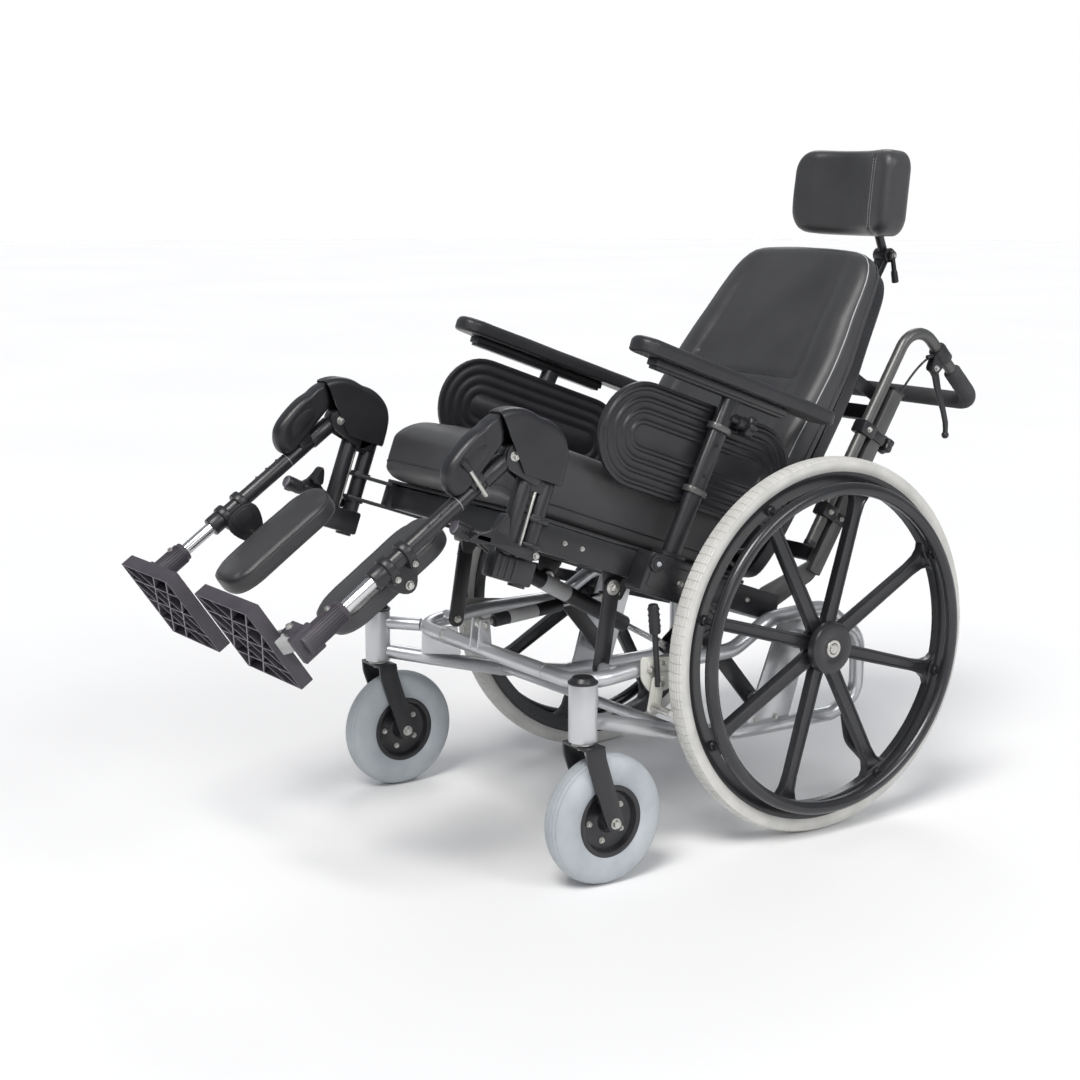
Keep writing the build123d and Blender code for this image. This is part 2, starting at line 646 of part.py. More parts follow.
def seat_frame():
    """Rails, cross members, link lugs, hanger lugs and arm sockets, as one weldment."""
    rail = box_tube_y(RAIL_X, RAIL_FRONT, RAIL_REAR, RAIL_BOTTOM, RAIL_TOP, RAIL_WIDTH, RAIL_WALL)
    inner = RAIL_X - RAIL_WIDTH / 2
    outer = RAIL_X + RAIL_WIDTH / 2
    # lug beside the front link, and the lug with the rear link's pin
    y, z = FRONT_LINK_HIGH
    lug_x = FRONT_LINK_X - LINK_THICK / 2 - SLIP
    rail = rail + side_plate([(y - 22, RAIL_BOTTOM + 1), (y + 22, RAIL_BOTTOM + 1), (y + 9, z - 12),
                              (y - 9, z - 12)], lug_x - 5, lug_x)
    rail = rail + block(lug_x - 5, inner + 1, y - 22, y + 22, RAIL_BOTTOM, RAIL_BOTTOM + 12)
    y, z = REAR_LINK_HIGH
    lug_x = REAR_LINK_X + LINK_THICK / 2 + SLIP
    rail = rail + side_plate([(y - 26, RAIL_BOTTOM + 1), (y + 26, RAIL_BOTTOM + 1), (y + 10, z - 12),
                              (y - 10, z - 12)], lug_x, lug_x + 6)
    rail = rail + across(REAR_LINK_X - LINK_THICK / 2 - 3, lug_x + 2, y, z, LINK_PIN)
    # lugs that hold the hanger's rear tube, above and below
    x, y = HANGER_X, HANGER_REAR_Y
    outline = [(inner + 4, RAIL_FRONT + 12), (inner + 4, RAIL_FRONT), (x - 20, y - 4),
               (x - 10, y - 18), (x + 10, y - 18), (x + 19, y - 4), (x + 16, y + 14),
               (outer, RAIL_FRONT + 12)]
    for z in (RAIL_BOTTOM, RAIL_TOP - 6):
        rail = rail + Pos(0, 0, z) * extrude(make_face(Polyline(*outline, close=True)), 6)
    rail = rail - hole((x, y, 0), (x, y, 80), HANGER_TUBE)
    rail = rail + arm_socket(outer)
    # hole of the back's pivot pin, in the rail's inner wall
    rail = rail - hole_across(inner - 1, inner + RAIL_WALL + 1, RECLINE_Y, RECLINE_Z, BACK_PIN)
    frame = rail + right_of(rail)
    half = CROSS_DEPTH / 2
    for y in CROSS_MEMBERS:
        frame = frame + block(-inner, inner, y - half, y + half, RAIL_BOTTOM + 4, RAIL_TOP - 1)
    # clevis of the recline spring, with its pin
    y, z = RECLINE_LOW
    for x in (RECLINE_X - 12, RECLINE_X + 7.5):
        frame = frame + side_plate([(y - 12, z - 9), (y + 12, z - 9), (y + 12, RAIL_BOTTOM + 12),
                                    (CROSS_MEMBERS[0], RAIL_BOTTOM + 12),
                                    (CROSS_MEMBERS[0], RAIL_BOTTOM - 8)], x, x + 4.5)
    frame = frame + across(RECLINE_X - 14, RECLINE_X + 14, *RECLINE_LOW, SPRING_PIN)
    # clevis beside the tilt spring's rod end
    y, z = TILT_HIGH
    for x in (TILT_X - 11, TILT_X + 6.5):
        frame = frame + side_plate([(y - 12, z - 10), (y + 14, z - 10), (y + 24, RAIL_BOTTOM + 8),
                                    (y - 4, RAIL_BOTTOM + 8)], x, x + 4.5)
    return frame


def arm_socket(x):
    y0 = POST_Y - SOCKET_HALF
    y1 = POST_Y + SOCKET_HALF
    socket = side_plate([(y0, SOCKET_BOTTOM), (y1, SOCKET_BOTTOM), (y1 + 6, SOCKET_TOP),
                         (y0 + 6, SOCKET_TOP)], x, x + 37)
    socket = socket + across(x + 36, x + 43, POST_Y - 32, 39, 13, TUBE_SIDES)
    return socket - post_shape(SLIP, -20, 90)


def post_frame():
    return Location((POST_X, POST_Y, 0), (-POST_LEAN, 0, 0))


def post_shape(grow, z0, z1):
    """The post's oblong section, grown on every side, between two heights."""
    half_depth = POST_DEPTH / 2 + grow
    half_thick = POST_THICK / 2 + grow
    corner = 6
    points = []
    for side_x, side_y in ((1, 1), (-1, 1), (-1, -1), (1, -1)):
        pair = [(side_x * half_thick, side_y * (half_depth - corner)),
                (side_x * (half_thick - corner), side_y * half_depth)]
        points += pair if side_x * side_y > 0 else pair[::-1]
    outline = make_face(Polyline(*points, close=True))
    return post_frame() * Pos(0, 0, z0) * extrude(outline, z1 - z0)


def seat_pan():
    inner = RAIL_X + RAIL_WIDTH / 2
    return block(-inner, inner, RAIL_FRONT, PAN_REAR, RAIL_TOP, RAIL_TOP + PAN_THICK)


def seat_cushion():
    z0 = RAIL_TOP + PAN_THICK + 0.4
    z1 = z0 + CUSHION_THICK
    half = CUSHION_HALF
    side = [(CUSHION_FRONT, z0 + 8), (CUSHION_FRONT - 4, z1 - 10), (CUSHION_FRONT + 120, z1 + 4),
            (CUSHION_REAR, z1 - 8), (CUSHION_REAR + 4, z0 + 6), (CUSHION_FRONT + 60, z0)]
    body = side_plate(side, -half, half, [20, 46, 300, 30, 8, 60])
    front = [(-half + 8, z0), (-half, z0 + 50), (-half + 10, z1 - 6), (0, z1 + 2),
             (half - 10, z1 - 6), (half, z0 + 50), (half - 8, z0)]
    return body & from_behind(rounded(front, [8, 60, 26, 900, 26, 60, 8]), 400, 800)


# ---------------------------------------------------------------- arm rests
def arm_post():
    """Post with two clamps for the side panel, a star knob and the channel under the pad."""
    post = post_shape(0, SOCKET_BOTTOM + 2, PAD_TOP - PAD_THICK - 8)
    lean = tan(radians(POST_LEAN))
    face = PANEL_X + PANEL_THICK / 2 + RIB_RISE + 0.3
    for z in CLAMP_HEIGHTS:
        y = POST_Y + z * lean
        clamp = post_shape(4.5, z - 5, z + 5) + block(face, POST_X, y - 14, y + 14, z - 5, z + 5)
        post = post + (clamp - block(face - 20, face, y - 40, y + 40, z - 20, z + 20))
    y = POST_Y + KNOB_HEIGHT * lean
    x = POST_X + KNOB_ASIDE
    post = post + rod((x, y + 10, KNOB_HEIGHT), (x, y + 40, KNOB_HEIGHT - 3), 5, BOLT_SIDES)
    knob = Plane(origin=(x, y + 38, KNOB_HEIGHT - 3), z_dir=(0, 1, -0.1))
    points = []
    for step in range(12):
        angle = radians(30 * step)
        radius = 18 if step % 2 else 15
        points.append((radius * cos(angle), radius * sin(angle)))
    post = post + extrude(knob * make_face(Polyline(*points, close=True)), 16)
    z = PAD_TOP - PAD_THICK
    return post + block(POST_X - 10, POST_X + 14, PAD_FRONT + 38, PAD_REAR - 95, z - 12, z)


def arm_pad():
    half = PAD_WIDTH / 2
    z = PAD_TOP - PAD_THICK
    plan = [(-half, PAD_FRONT), (half, PAD_FRONT), (half - 4, PAD_REAR), (4 - half, PAD_REAR)]
    body = Pos(0, 0, z) * extrude(rounded(plan, [26, 26, 14, 14]), PAD_THICK)
    crown = [(3 - half, z), (-half, z + 12), (5 - half, PAD_TOP - 4), (0, PAD_TOP),
             (half - 5, PAD_TOP - 4), (half, z + 12), (half - 3, z)]
    body = body & from_behind(rounded(crown, [0, 8, 9, 60, 9, 8, 0]), 500, 900)
    return Pos(POST_X, 0, 0) * body


def stadium(length, height, steps=6):
    """An oblong with round ends, as a face with straight sides."""
    radius = height / 2
    half = length / 2 - radius
    points = arc_points((half, 0), radius, -90, 90, steps)
    points += arc_points((-half, 0), radius, 90, 270, steps)
    return make_face(Polyline(*points, close=True))


def side_panel():
    length = PANEL_REAR - PANEL_FRONT
    middle = (PANEL_FRONT + PANEL_REAR) / 2
    centre = Plane(origin=(PANEL_X, middle, PANEL_BOTTOM + PANEL_HEIGHT / 2), x_dir=(0, 1, 0),
                   z_dir=(1, 0, 0))
    half = PANEL_THICK / 2
    panel = extrude(centre.offset(-half) * stadium(length, PANEL_HEIGHT, 12), PANEL_THICK)
    for index in range(RIBS):
        outer = RIB_PITCH * index + 5
        inner = outer + RIB_WIDTH
        band = stadium(length - 2 * outer, PANEL_HEIGHT - 2 * outer)
        band = band - stadium(length - 2 * inner, PANEL_HEIGHT - 2 * inner)
        panel = panel + extrude(centre.offset(half) * band, RIB_RISE)
    return panel


# ---------------------------------------------------------------- back
def back_outline(half, bottom, top, corner, y0, y1):
    waist = bottom + 0.6 * (top - bottom)
    points = [(22 - half, bottom), (-half, bottom + 150), (-half, waist), (BACK_TAPER - half, top),
              (half - BACK_TAPER, top), (half, waist), (half, bottom + 150), (half - 22, bottom)]
    outline = rounded(points, [24, 300, 300, corner, corner, 300, 300, 24])
    return from_behind(outline, y1, y1 - y0)


def back_cushion():
    body = back_outline(BACK_HALF, BACK_BOTTOM, BACK_TOP, BACK_CORNER, BACK_FRONT - 30,
                        BACK_CUSHION_REAR)
    f = BACK_FRONT
    r = BACK_CUSHION_REAR
    h = BACK_HALF
    side = [(r, BACK_BOTTOM), (f + 22, BACK_BOTTOM), (f - 8, BACK_BOTTOM + 170),
            (f + 8, BACK_BOTTOM + 370), (f + 14, BACK_TOP), (r, BACK_TOP)]
    body = body & side_plate(side, -h - 5, h + 5, [4, 16, 220, 300, 26, 4])
    plan = [(-h, r), (2 - h, f + 14), (48 - h, f - 16), (0, f - 4), (h - 48, f - 16),
            (h - 2, f + 14), (h, r)]
    return body & extrude(rounded(plan, [0, 22, 60, 400, 60, 22, 0]), 700)


def back_shell():
    y0 = BACK_CUSHION_REAR + 0.4
    outer = back_outline(BACK_HALF, BACK_BOTTOM - 35, BACK_TOP - 8, BACK_CORNER, y0, SHELL_REAR)
    inner = back_outline(BACK_HALF - SHELL_WALL, BACK_BOTTOM - 35 + SHELL_WALL,
                         BACK_TOP - 8 - SHELL_WALL, BACK_CORNER - SHELL_WALL, y0 - 1,
                         SHELL_REAR - SHELL_WALL)
    return outer - inner


def back_frame():
    """Flat profiles, pivot plates, cross bars and clamps that carry the shell."""
    x = CANE_X
    inner = RAIL_X - RAIL_WIDTH / 2
    profile = block(x - 9, x + 9, PROFILE_Y - 13, PROFILE_Y + 13, 90, PROFILE_TOP)
    plate_x = inner - SLIP
    plate = side_plate([(-16, -16), (14, -18), (PROFILE_Y + 13, 84), (PROFILE_Y + 13, 150),
                        (PROFILE_Y - 13, 104), (-16, 18)], plate_x - 6, plate_x)
    left = profile + plate + across(plate_x - 8, inner + RAIL_WALL, 0, 0, BACK_PIN)
    for z in CANE_CLAMPS:
        clamp = block(x - 14, x + 14, CANE_Y - 15, PROFILE_Y - 12, z - 12, z + 12)
        left = left + (clamp - rod((x, CANE_Y, z - 13), (x, CANE_Y, z + 13), CANE_TUBE + 0.1,
                                   TUBE_SIDES))
    z = CANE_CLAMPS[-1]
    left = left + rod((x, PROFILE_Y + 12, z), (x, PROFILE_Y + 24, z), 5, BOLT_SIDES)
    left = left + rod((x, PROFILE_Y + 22, z), (x, PROFILE_Y + 38, z), 16, TUBE_SIDES)
    # brackets from the profiles to the shell
    for z in SHELL_BRACKETS:
        left = left + block(x - 24, x - 18, SHELL_REAR, PROFILE_Y, z, z + 22)
        left = left + block(x - 24, x - 8, PROFILE_Y - 8, PROFILE_Y, z, z + 22)
    frame = left + right_of(left)
    for z in BACK_BARS:
        frame = frame + block(8 - x, x - 8, PROFILE_Y - 6, PROFILE_Y + 6, z - 13, z + 13)
    # receiver of the head rest's stem
    y = HEAD_STEM_Y
    receiver = block(-22, 22, PROFILE_Y + 5, y + 14, BACK_BARS[-1] - 25, BACK_BARS[-1] + 35)
    receiver = receiver - block(-STEM_WIDTH / 2 - 0.3, STEM_WIDTH / 2 + 0.3, y - 6.3, y + 6.3, 300, 600)
    frame = frame + receiver
    # lever of the recline spring, hanging from the lower bar
    for x in (RECLINE_X - 11, RECLINE_X + 6.5):
        frame = frame + side_plate([(PROFILE_Y - 8, 132), (PROFILE_Y + 8, 132), (PROFILE_Y + 8, 60),
                                    (12, -RECLINE_LEVER - 12), (-12, -RECLINE_LEVER - 12),
                                    (-12, -RECLINE_LEVER + 10), (PROFILE_Y - 16, 60)], x, x + 4.5)
    return frame


def push_bar():
    x = CANE_X
    points = [(x, CANE_Y, CANE_LOW), (x, CANE_Y, CANE_TOP), (x, ARM_END_Y, ARM_END_Z),
              (-x, ARM_END_Y, ARM_END_Z), (-x, CANE_Y, CANE_TOP), (-x, CANE_Y, CANE_LOW)]
    bar = bent_tube(points, [45, 30, 30, 45], CANE_TUBE)
    housing = brake_housing()
    clip = block(CABLE_IN - 4, CANE_X - CANE_TUBE + 2, CANE_Y - 4, CANE_Y + 4, CABLE_END - 8, CABLE_END)
    return bar + housing + right_of(housing) + clip + right_of(clip)


def brake_cable():
    """Straight runs and tangent arcs from the housing, behind the bars, to a clip on the cane."""
    start = arm_point(0.39, 6)
    points = [Vector(start), Vector(CANE_X - 4, 90, 505), Vector(CABLE_IN - 8, 98, CABLE_END + 58),
              Vector(CABLE_IN, CANE_Y, CABLE_END + 30), Vector(CABLE_IN, CANE_Y, CABLE_END)]
    radii = []
    for before, corner, after in zip(points, points[1:], points[2:]):
        arrive = corner - before
        leave = after - corner
        half_turn = radians(arrive.get_angle(leave)) / 2
        radii.append(0.45 * min(arrive.length, leave.length) / tan(half_turn))
    path = FilletPolyline(*points, radius=radii)
    plane = Plane(origin=path @ 0, z_dir=path % 0)
    cable = sweep(plane * section(CABLE_RADIUS, CABLE_SIDES), path=path)
    return cable - brake_housing_clamp()


def arm_point(share, drop=0.0, x=CANE_X):
    """A point along the push bar's side arm, drop below it."""
    y = CANE_Y + (ARM_END_Y - CANE_Y) * share
    z = CANE_TOP + (ARM_END_Z - CANE_TOP) * share
    return Vector(x, y, z - drop)


def brake_housing_clamp():
    return rod(arm_point(0.36), arm_point(0.5), CANE_TUBE + 5, TUBE_SIDES)


def brake_housing():
    """Clamp round the side arm, with two cheeks and the pin of the brake lever."""
    housing = brake_housing_clamp()
    pivot = arm_point(0.42, 28)
    y, z = pivot.Y, pivot.Z
    for x in (CANE_X - 7.5, CANE_X + 3.5):
        housing = housing + side_plate([(y - 14, z + 20), (y + 16, z + 14), (y + 9, z - 8),
                                        (y - 9, z - 8)], x, x + 4)
    housing = housing + across(CANE_X - 7.5, CANE_X + 7.5, y, z, LEVER_PIN)
    bar = bent_tube([(CANE_X, CANE_Y, CANE_LOW), (CANE_X, CANE_Y, CANE_TOP),
                     (CANE_X, ARM_END_Y, ARM_END_Z)], [45], CANE_TUBE)
    return housing - bar


def push_grip():
    x = CANE_X
    start = arm_point(GRIP_START)
    points = [(x, start.Y, start.Z), (x, ARM_END_Y, ARM_END_Z), (-x, ARM_END_Y, ARM_END_Z),
              (-x, start.Y, start.Z)]
    sleeve = bent_tube(points, [30, 30], GRIP_TUBE)
    return sleeve - bent_tube(points, [30, 30], CANE_TUBE)


def brake_lever():
    pivot = arm_point(0.42, 28)
    y, z = pivot.Y, pivot.Z
    blade = side_plate([(y - 8, z + 6), (y + 8, z + 5), (y + 36, z - 22), (y + 92, z - 66),
                        (y + 100, z - 84), (y + 88, z - 86), (y + 78, z - 70), (y + 24, z - 28),
                        (y - 6, z - 8)], CANE_X - 3, CANE_X + 3)
    return blade - hole_across(CANE_X - 4, CANE_X + 4, y, z, LEVER_PIN)


# ---------------------------------------------------------------- head rest
def head_frame():
    return Location((0, HEAD_Y, HEAD_Z), (-HEAD_LEAN, 0, 0))


def headrest_pad():
    """A curved pad with wings that reach forward; its middle lies on the frame's origin."""
    h = HEAD_HALF
    t = HEAD_THICK
    w = HEAD_WING
    half = HEAD_HEIGHT / 2
    plan = [(-h, 0), (-h - 2, -20), (14 - h, -t - w * 0.6), (34 - h, -t - w * 0.5), (-40, 4 - t),
            (40, 4 - t), (h - 34, -t - w * 0.5), (h - 14, -t - w * 0.6), (h + 2, -20), (h, 0),
            (50, HEAD_BACK), (-50, HEAD_BACK)]
    corners = [14, 14, 12, 8, 60, 60, 8, 12, 14, 14, 60, 60]
    body = Pos(0, 0, -half) * extrude(rounded(plan, corners), HEAD_HEIGHT)
    front = [(-h - 3, -half), (-h - 3, half), (h + 3, half), (h + 3, -half)]
    body = body & from_behind(rounded(front, 36), 50, 200)
    side = [(20, -half), (-t - w, -half), (-t - w, half), (20, half)]
    body = body & side_plate(side, -h - 10, h + 10, [14, 20, 20, 14])
    return head_frame() * body


def headrest_stem():
    """Flat bar that slides in the receiver, a forward arm, a disc and a clamp lever."""
    y = HEAD_STEM_Y
    stem = block(-STEM_WIDTH / 2, STEM_WIDTH / 2, y - 6, y + 6, 300, 705)
    to_back = back_frame_at().inverse() * head_frame()
    end = (to_back * Pos(0, HEAD_BACK + 8, -10)).position
    stem = stem + rod((0, y, 700), (0, end.Y, end.Z), 8, TUBE_SIDES)
    stem = stem + across(-16, 16, y, 700, 13, TUBE_SIDES)
    stem = stem + across(15, 24, y, 700, 8, TUBE_SIDES)
    stem = stem + rod((21, y, 700), (24, y + 30, 664), 4, BOLT_SIDES)
    disc = to_back * block(-26, 26, HEAD_BACK + 0.3, HEAD_BACK + 6, -36, 16)
    return stem + disc


# ---------------------------------------------------------------- leg rests
def hanger():
    """Two uprights with collar and bridge, the knee plate and the knee's pin."""
    x = HANGER_X
    front = rod((x, HANGER_FRONT_Y, -30), (x, HANGER_FRONT_Y, HANGER_TOP), HANGER_TUBE, TUBE_SIDES)
    rear = rod((x, HANGER_REAR_Y, -54), (x, HANGER_REAR_Y, HANGER_TOP), HANGER_TUBE)
    collar = block(x - 15, x + 15, -262, -190, -50, -12)
    bridge = block(x - 10, x + 10, HANGER_FRONT_Y, HANGER_REAR_Y, 84, HANGER_TOP)
    plate = side_plate([(-228, 88), (-208, 104), (KNEE_Y + 14, KNEE_Z + 14),
                        (KNEE_Y - 4, KNEE_Z + 17), (KNEE_Y - 17, KNEE_Z + 2),
                        (KNEE_Y - 8, KNEE_Z - 15)], x - KNEE_HALF + 0.5, x - KNEE_HALF + 3)
    plate = plate + block(x - KNEE_HALF + 0.5, x - 8, -232, -208, 90, 104)
    pin = across(x - KNEE_HALF + 1, x + KNEE_HALF - 1, KNEE_Y, KNEE_Z, KNEE_PIN)
    latch_pin = across(x + 10, x + LATCH_OUT + 8, *LATCH_PIVOT, LEVER_PIN)
    return front + rear + collar + bridge + plate + pin + latch_pin


def knee_shell(outline, hollow, half):
    """An outline between two sides, hollowed so that only its walls are left."""
    x = HANGER_X
    outside = side_plate(outline, x - half - KNEE_WALL, x + half + KNEE_WALL)
    return outside - side_plate(hollow, x - half, x + half)


def knee_arc(radius, first, last, steps=4):
    return arc_points((KNEE_Y, KNEE_Z), radius, first, last, steps)


def knee_cap():
    """The hanger's cover: round about the knee's pin, then down over the uprights."""
    outline = knee_arc(KNEE_ROUND, 124, 72) + [(-218, 184), (-199, 168), (-188, 140), (-187, 106),
                                               (-252, 106), (-262, 122), (-284, 140)]
    inside = KNEE_ROUND - KNEE_WALL
    hollow = knee_arc(inside, 128, 72) + [(-219, 181), (-202, 166), (-190.5, 140), (-190, 100),
                                          (-252, 100), (-266, 120), (-290, 140), (-330, 160)]
    return knee_shell(outline, hollow, KNEE_HALF)


def knee_cover():
    """The leg tube's cover, which turns into the cap as the leg is raised."""
    radius = KNEE_ROUND - KNEE_WALL - SLIP
    outline = knee_arc(radius, 152, 126, 3) + [(-298, 144), (-306, 128), (-322, 92), (-344, 47),
                                               (-358, 44), (-373, 54), (-381, 72), (-379, 92),
                                               (-358, 137)]
    hollow = knee_arc(radius - 2, 152, 128, 3) + [(-290, 140), (-300, 122), (-346, 30), (-358, 36),
                                                  (-369, 54), (-377, 72), (-375, 92), (-355, 134)]
    x = HANGER_X
    half = KNEE_HALF - KNEE_WALL - SLIP
    cover = knee_shell(outline, hollow, half)
    knob = rod((x + half + 1, -330, 74), (x + half + 9, -352, 86), 4, BOLT_SIDES)
    knob = knob + rod((x + half + 8, -350, 85), (x + half + 11, -368, 95), 7, BOLT_SIDES)
    return cover + (knob - block(x, x + half, -400, -280, 0, 160))


def leg_tube():
    """Leg tube with its knuckle, and the rings and arm that carry the calf pad."""
    x = HANGER_X
    tube = rod((x, -10, 0), (x, -LEG_LENGTH, 0), LEG_TUBE, TUBE_SIDES)
    part = tube + across(x - 10, x + 10, 0, 0, 15, TUBE_SIDES)
    part = part + rod((x, 26 - LEG_LENGTH, 0), (x, 2 - LEG_LENGTH, 0), LEG_TUBE + 3, TUBE_SIDES)
    for along in CALF_RINGS:
        part = part + rod((x, 7 - along, 0), (x, -along - 7, 0), LEG_TUBE + 6, TUBE_SIDES)
    y0, y1 = -CALF_RINGS[-1] - 6, 6 - CALF_RINGS[0]
    inner = x - LEG_TUBE - 4
    arm = side_plate([(y1, -2), (y0, -2), (y0 - 6, -20), (-CALF_ALONG - 10, CALF_PIVOT_Z - 12),
                      (10 - CALF_ALONG, CALF_PIVOT_Z - 12), (y1 + 10, -20)], inner - 4, inner)
    part = part + arm + block(inner - 1, x - 8, y0, y1, -7, 5)
    pin_end = CALF_X + CALF_WIDTH / 2 - 20
    part = part + across(pin_end, inner - 2, -CALF_ALONG, CALF_PIVOT_Z, CALF_PIN)
    # bracket that holds the knee's cover between its walls
    half = KNEE_HALF - KNEE_WALL - SLIP
    part = part + block(x - half, x + half, -80, -55, 0, 26)
    part = part - hole((x, -20, 0), (x, -LEG_LENGTH - 1, 0), EXTENSION_TUBE)
    return part - hole_across(x - 40, x + 40, 0, 0, KNEE_PIN)


def latch_lever():
    """Flat lever beside the uprights, with a thumb tab and a knob that reaches round in front."""
    x = HANGER_X + LATCH_OUT
    y, z = LATCH_PIVOT
    lever = side_plate([(y + 8, z - 8), (y + 8, z + 5), (y - 12, z + 7), (-240, 5), (-262, 14),
                        (-266, 40), (-276, 42), (-288, 18), (-312, 4), (-328, -12), (-310, -10),
                        (-284, -4), (-240, -12)], x, x + 6)
    lever = lever + block(HANGER_X - 8, x + 6, -314, -286, -6, 6)
    lever = lever + rod((HANGER_X - 2, -312, 0), (HANGER_X - 2, -338, 4), 11, TUBE_SIDES)
    return lever - hole_across(x - 1, x + 7, y, z, LEVER_PIN)


def extension():
    """Chrome tube with the clamp that carries the footplate's hinge."""
    x = HANGER_X
    along = LEG_LENGTH + EXTENSION_OUT
    part = rod((x, -60, 0), (x, -along - 4, 0), EXTENSION_TUBE)
    part = part + rod((x, -along, 0), (x, 4 - FOOT_ALONG, 0), 17, TUBE_SIDES)
    part = part + block(x - 6, x + 6, -FOOT_ALONG - 8, 30 - FOOT_ALONG, -FOOT_CHEEK, FOOT_CHEEK)
    for side in (-1, 1):
        z0 = side * FOOT_BARREL
        z1 = side * FOOT_CHEEK
        part = part + block(FOOT_PIN_X - 10, x, FOOT_PIN_Y - 10, FOOT_PIN_Y + 12, z0 + side * SLIP, z1)
    return part + rod((FOOT_PIN_X, FOOT_PIN_Y, -FOOT_CHEEK - 3),
                      (FOOT_PIN_X, FOOT_PIN_Y, FOOT_CHEEK + 3), FOOT_PIN)


def footplate():
    """A thick plate with crossed ribs on its underside, and the barrel of its hinge."""
    x1 = FOOT_OUTER_X
    x0 = x1 - FOOT_WIDTH
    half = FOOT_LENGTH / 2
    top = -FOOT_ALONG
    under = top - FOOT_THICK
    wall = FOOT_WALL
    plate = block(x0, x1, under, top, -half, half)
    plate = plate - block(x0 + wall, x1 - wall, under - 1, top - wall, wall - half, half - wall)
    inside = block(x0 + 1, x1 - 1, under, top, 1 - half, half - 1)
    for turn in (FOOT_RIB_TURN, -FOOT_RIB_TURN):
        for step in (-1, 0, 1):
            rib = Rot(0, turn, 0) * Box(3 * FOOT_WIDTH, FOOT_THICK, 2.4)
            rib = Pos((x0 + x1) / 2 + step * FOOT_RIB_PITCH, (top + under) / 2, 0) * rib
            plate = plate + (rib & inside)
    x, y = FOOT_PIN_X, FOOT_PIN_Y
    ear = make_face(Polyline((x1 - 30, top - 12), (x1 - 30, top - 1), (x1 - 4, y + 4), (x - 4, y + 9),
                             (x + 6, y + 9), (x + 9, y), (x + 4, y - 9), (x1 - 2, top - 14), close=True))
    plate = plate + Pos(0, 0, -FOOT_BARREL) * extrude(ear, 2 * FOOT_BARREL)
    return plate - hole((x, y, -60), (x, y, 60), FOOT_PIN)


def calf_pad():
    """Padded calf rest on its pivot arm, in the leg's frame."""
    x0 = CALF_X - CALF_WIDTH / 2
    x1 = CALF_X + CALF_WIDTH / 2
    y0 = -CALF_ALONG - CALF_LENGTH / 2
    y1 = -CALF_ALONG + CALF_LENGTH / 2
    top = CALF_DROP
    low = top - CALF_THICK
    plan = rounded([(x0, y0), (x1, y0), (x1, y1), (x0, y1)], 38)
    body = Pos(0, 0, low) * extrude(plan, CALF_THICK)
    section = [(x0 + 10, low), (x0, low + 16), (x0 + 8, top - 8), (CALF_X, top),
               (x1 - 8, top - 8), (x1, low + 16), (x1 - 10, low)]
    body = body & from_behind(rounded(section, [6, 16, 14, 300, 14, 16, 6]), 0, 600)
    return body - hole_across(x1 - 22, x1 + 5, -CALF_ALONG, CALF_PIVOT_Z, CALF_PIN)


# ---------------------------------------------------------------- build
def build():
    os.makedirs("parts", exist_ok=True)
    save_pair("side_frame", side_frame())
    tubes = both_side_tubes()
    save("cross_tubes", cross_tubes(tubes))
    save("anti_tippers", anti_tippers(tubes))
    save("wheel_lock_brackets", lock_brackets(tubes))
    save_pair("wheel_lock_lever", lock_lever())
    save_pair("rear_wheel", rear_wheel())
    save_pair("rear_tyre", rear_tyre())
    save_pair("push_rim", push_rim())
    save_pair("caster_fork", caster_fork())
    save_pair("caster_rim", caster_rim())
    save_pair("caster_tyre", caster_tyre())

    save("front_links", front_links())
    save("rear_links", rear_links())
    high = in_seat(*TILT_HIGH)
    cylinder, piston = spring_pair(TILT_LOW, high, TILT_X, 0.6, TILT_CYLINDER, TILT_INWARD)
    save("tilt_spring_cylinder", cylinder)
    save("tilt_spring_rod", piston)
    low = in_seat(*RECLINE_LOW)
    high = in_back(0, -RECLINE_LEVER)
    cylinder, piston = spring_pair(low, high, RECLINE_X, 0.7, RECLINE_CYLINDER, RECLINE_INWARD)
    save("recline_spring_cylinder", cylinder)
    save("recline_spring_rod", piston)

    seat = seat_frame_at()
    save("seat_frame", seat * seat_frame())
    save("seat_pan", seat * seat_pan())
    save("seat_cushion", seat * seat_cushion())
    save_pair("arm_post", seat * arm_post())
    save_pair("arm_pad", seat * arm_pad())
    save_pair("side_panel", seat * side_panel())

    back = back_frame_at()
    save("back_frame", back * back_frame())
    save("back_shell", back * back_shell())
    save("back_cushion", back * back_cushion())
    save("push_bar", back * push_bar())
    save("push_grip", back * push_grip())
    save_pair("brake_lever", back * brake_lever())
    cable = brake_cable()
    save("brake_cables", back * Part([cable, right_of(cable)]))
    save("headrest_stem", back * headrest_stem())
    save("headrest_pad", headrest_pad())

    leg = leg_frame_at()
    save_pair("hanger", seat * hanger())
    save_pair("knee_cap", seat * knee_cap())
    save_pair("knee_cover", seat * knee_cover())
    save_pair("latch_lever", seat * latch_lever())
    save_pair("leg_tube", leg * leg_tube())
    save_pair("leg_extension", leg * extension())
    save_pair("footplate", leg * footplate())
    save_pair("calf_pad", leg * calf_pad())


build()
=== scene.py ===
# %% [markdown]
# # A tilt-in-space wheelchair
# The solids of the chair are loaded as a fixed frame. This lesson dresses them piece by
# piece: round tubes, moulded wheels, tyres with tread, stitched cushions and small bolts.
# Every length is in millimetres from the rear axle line, as on a workshop drawing.

# %% Load the frame
import math

import bmesh
import bpy
from mathutils import Matrix, Vector, noise


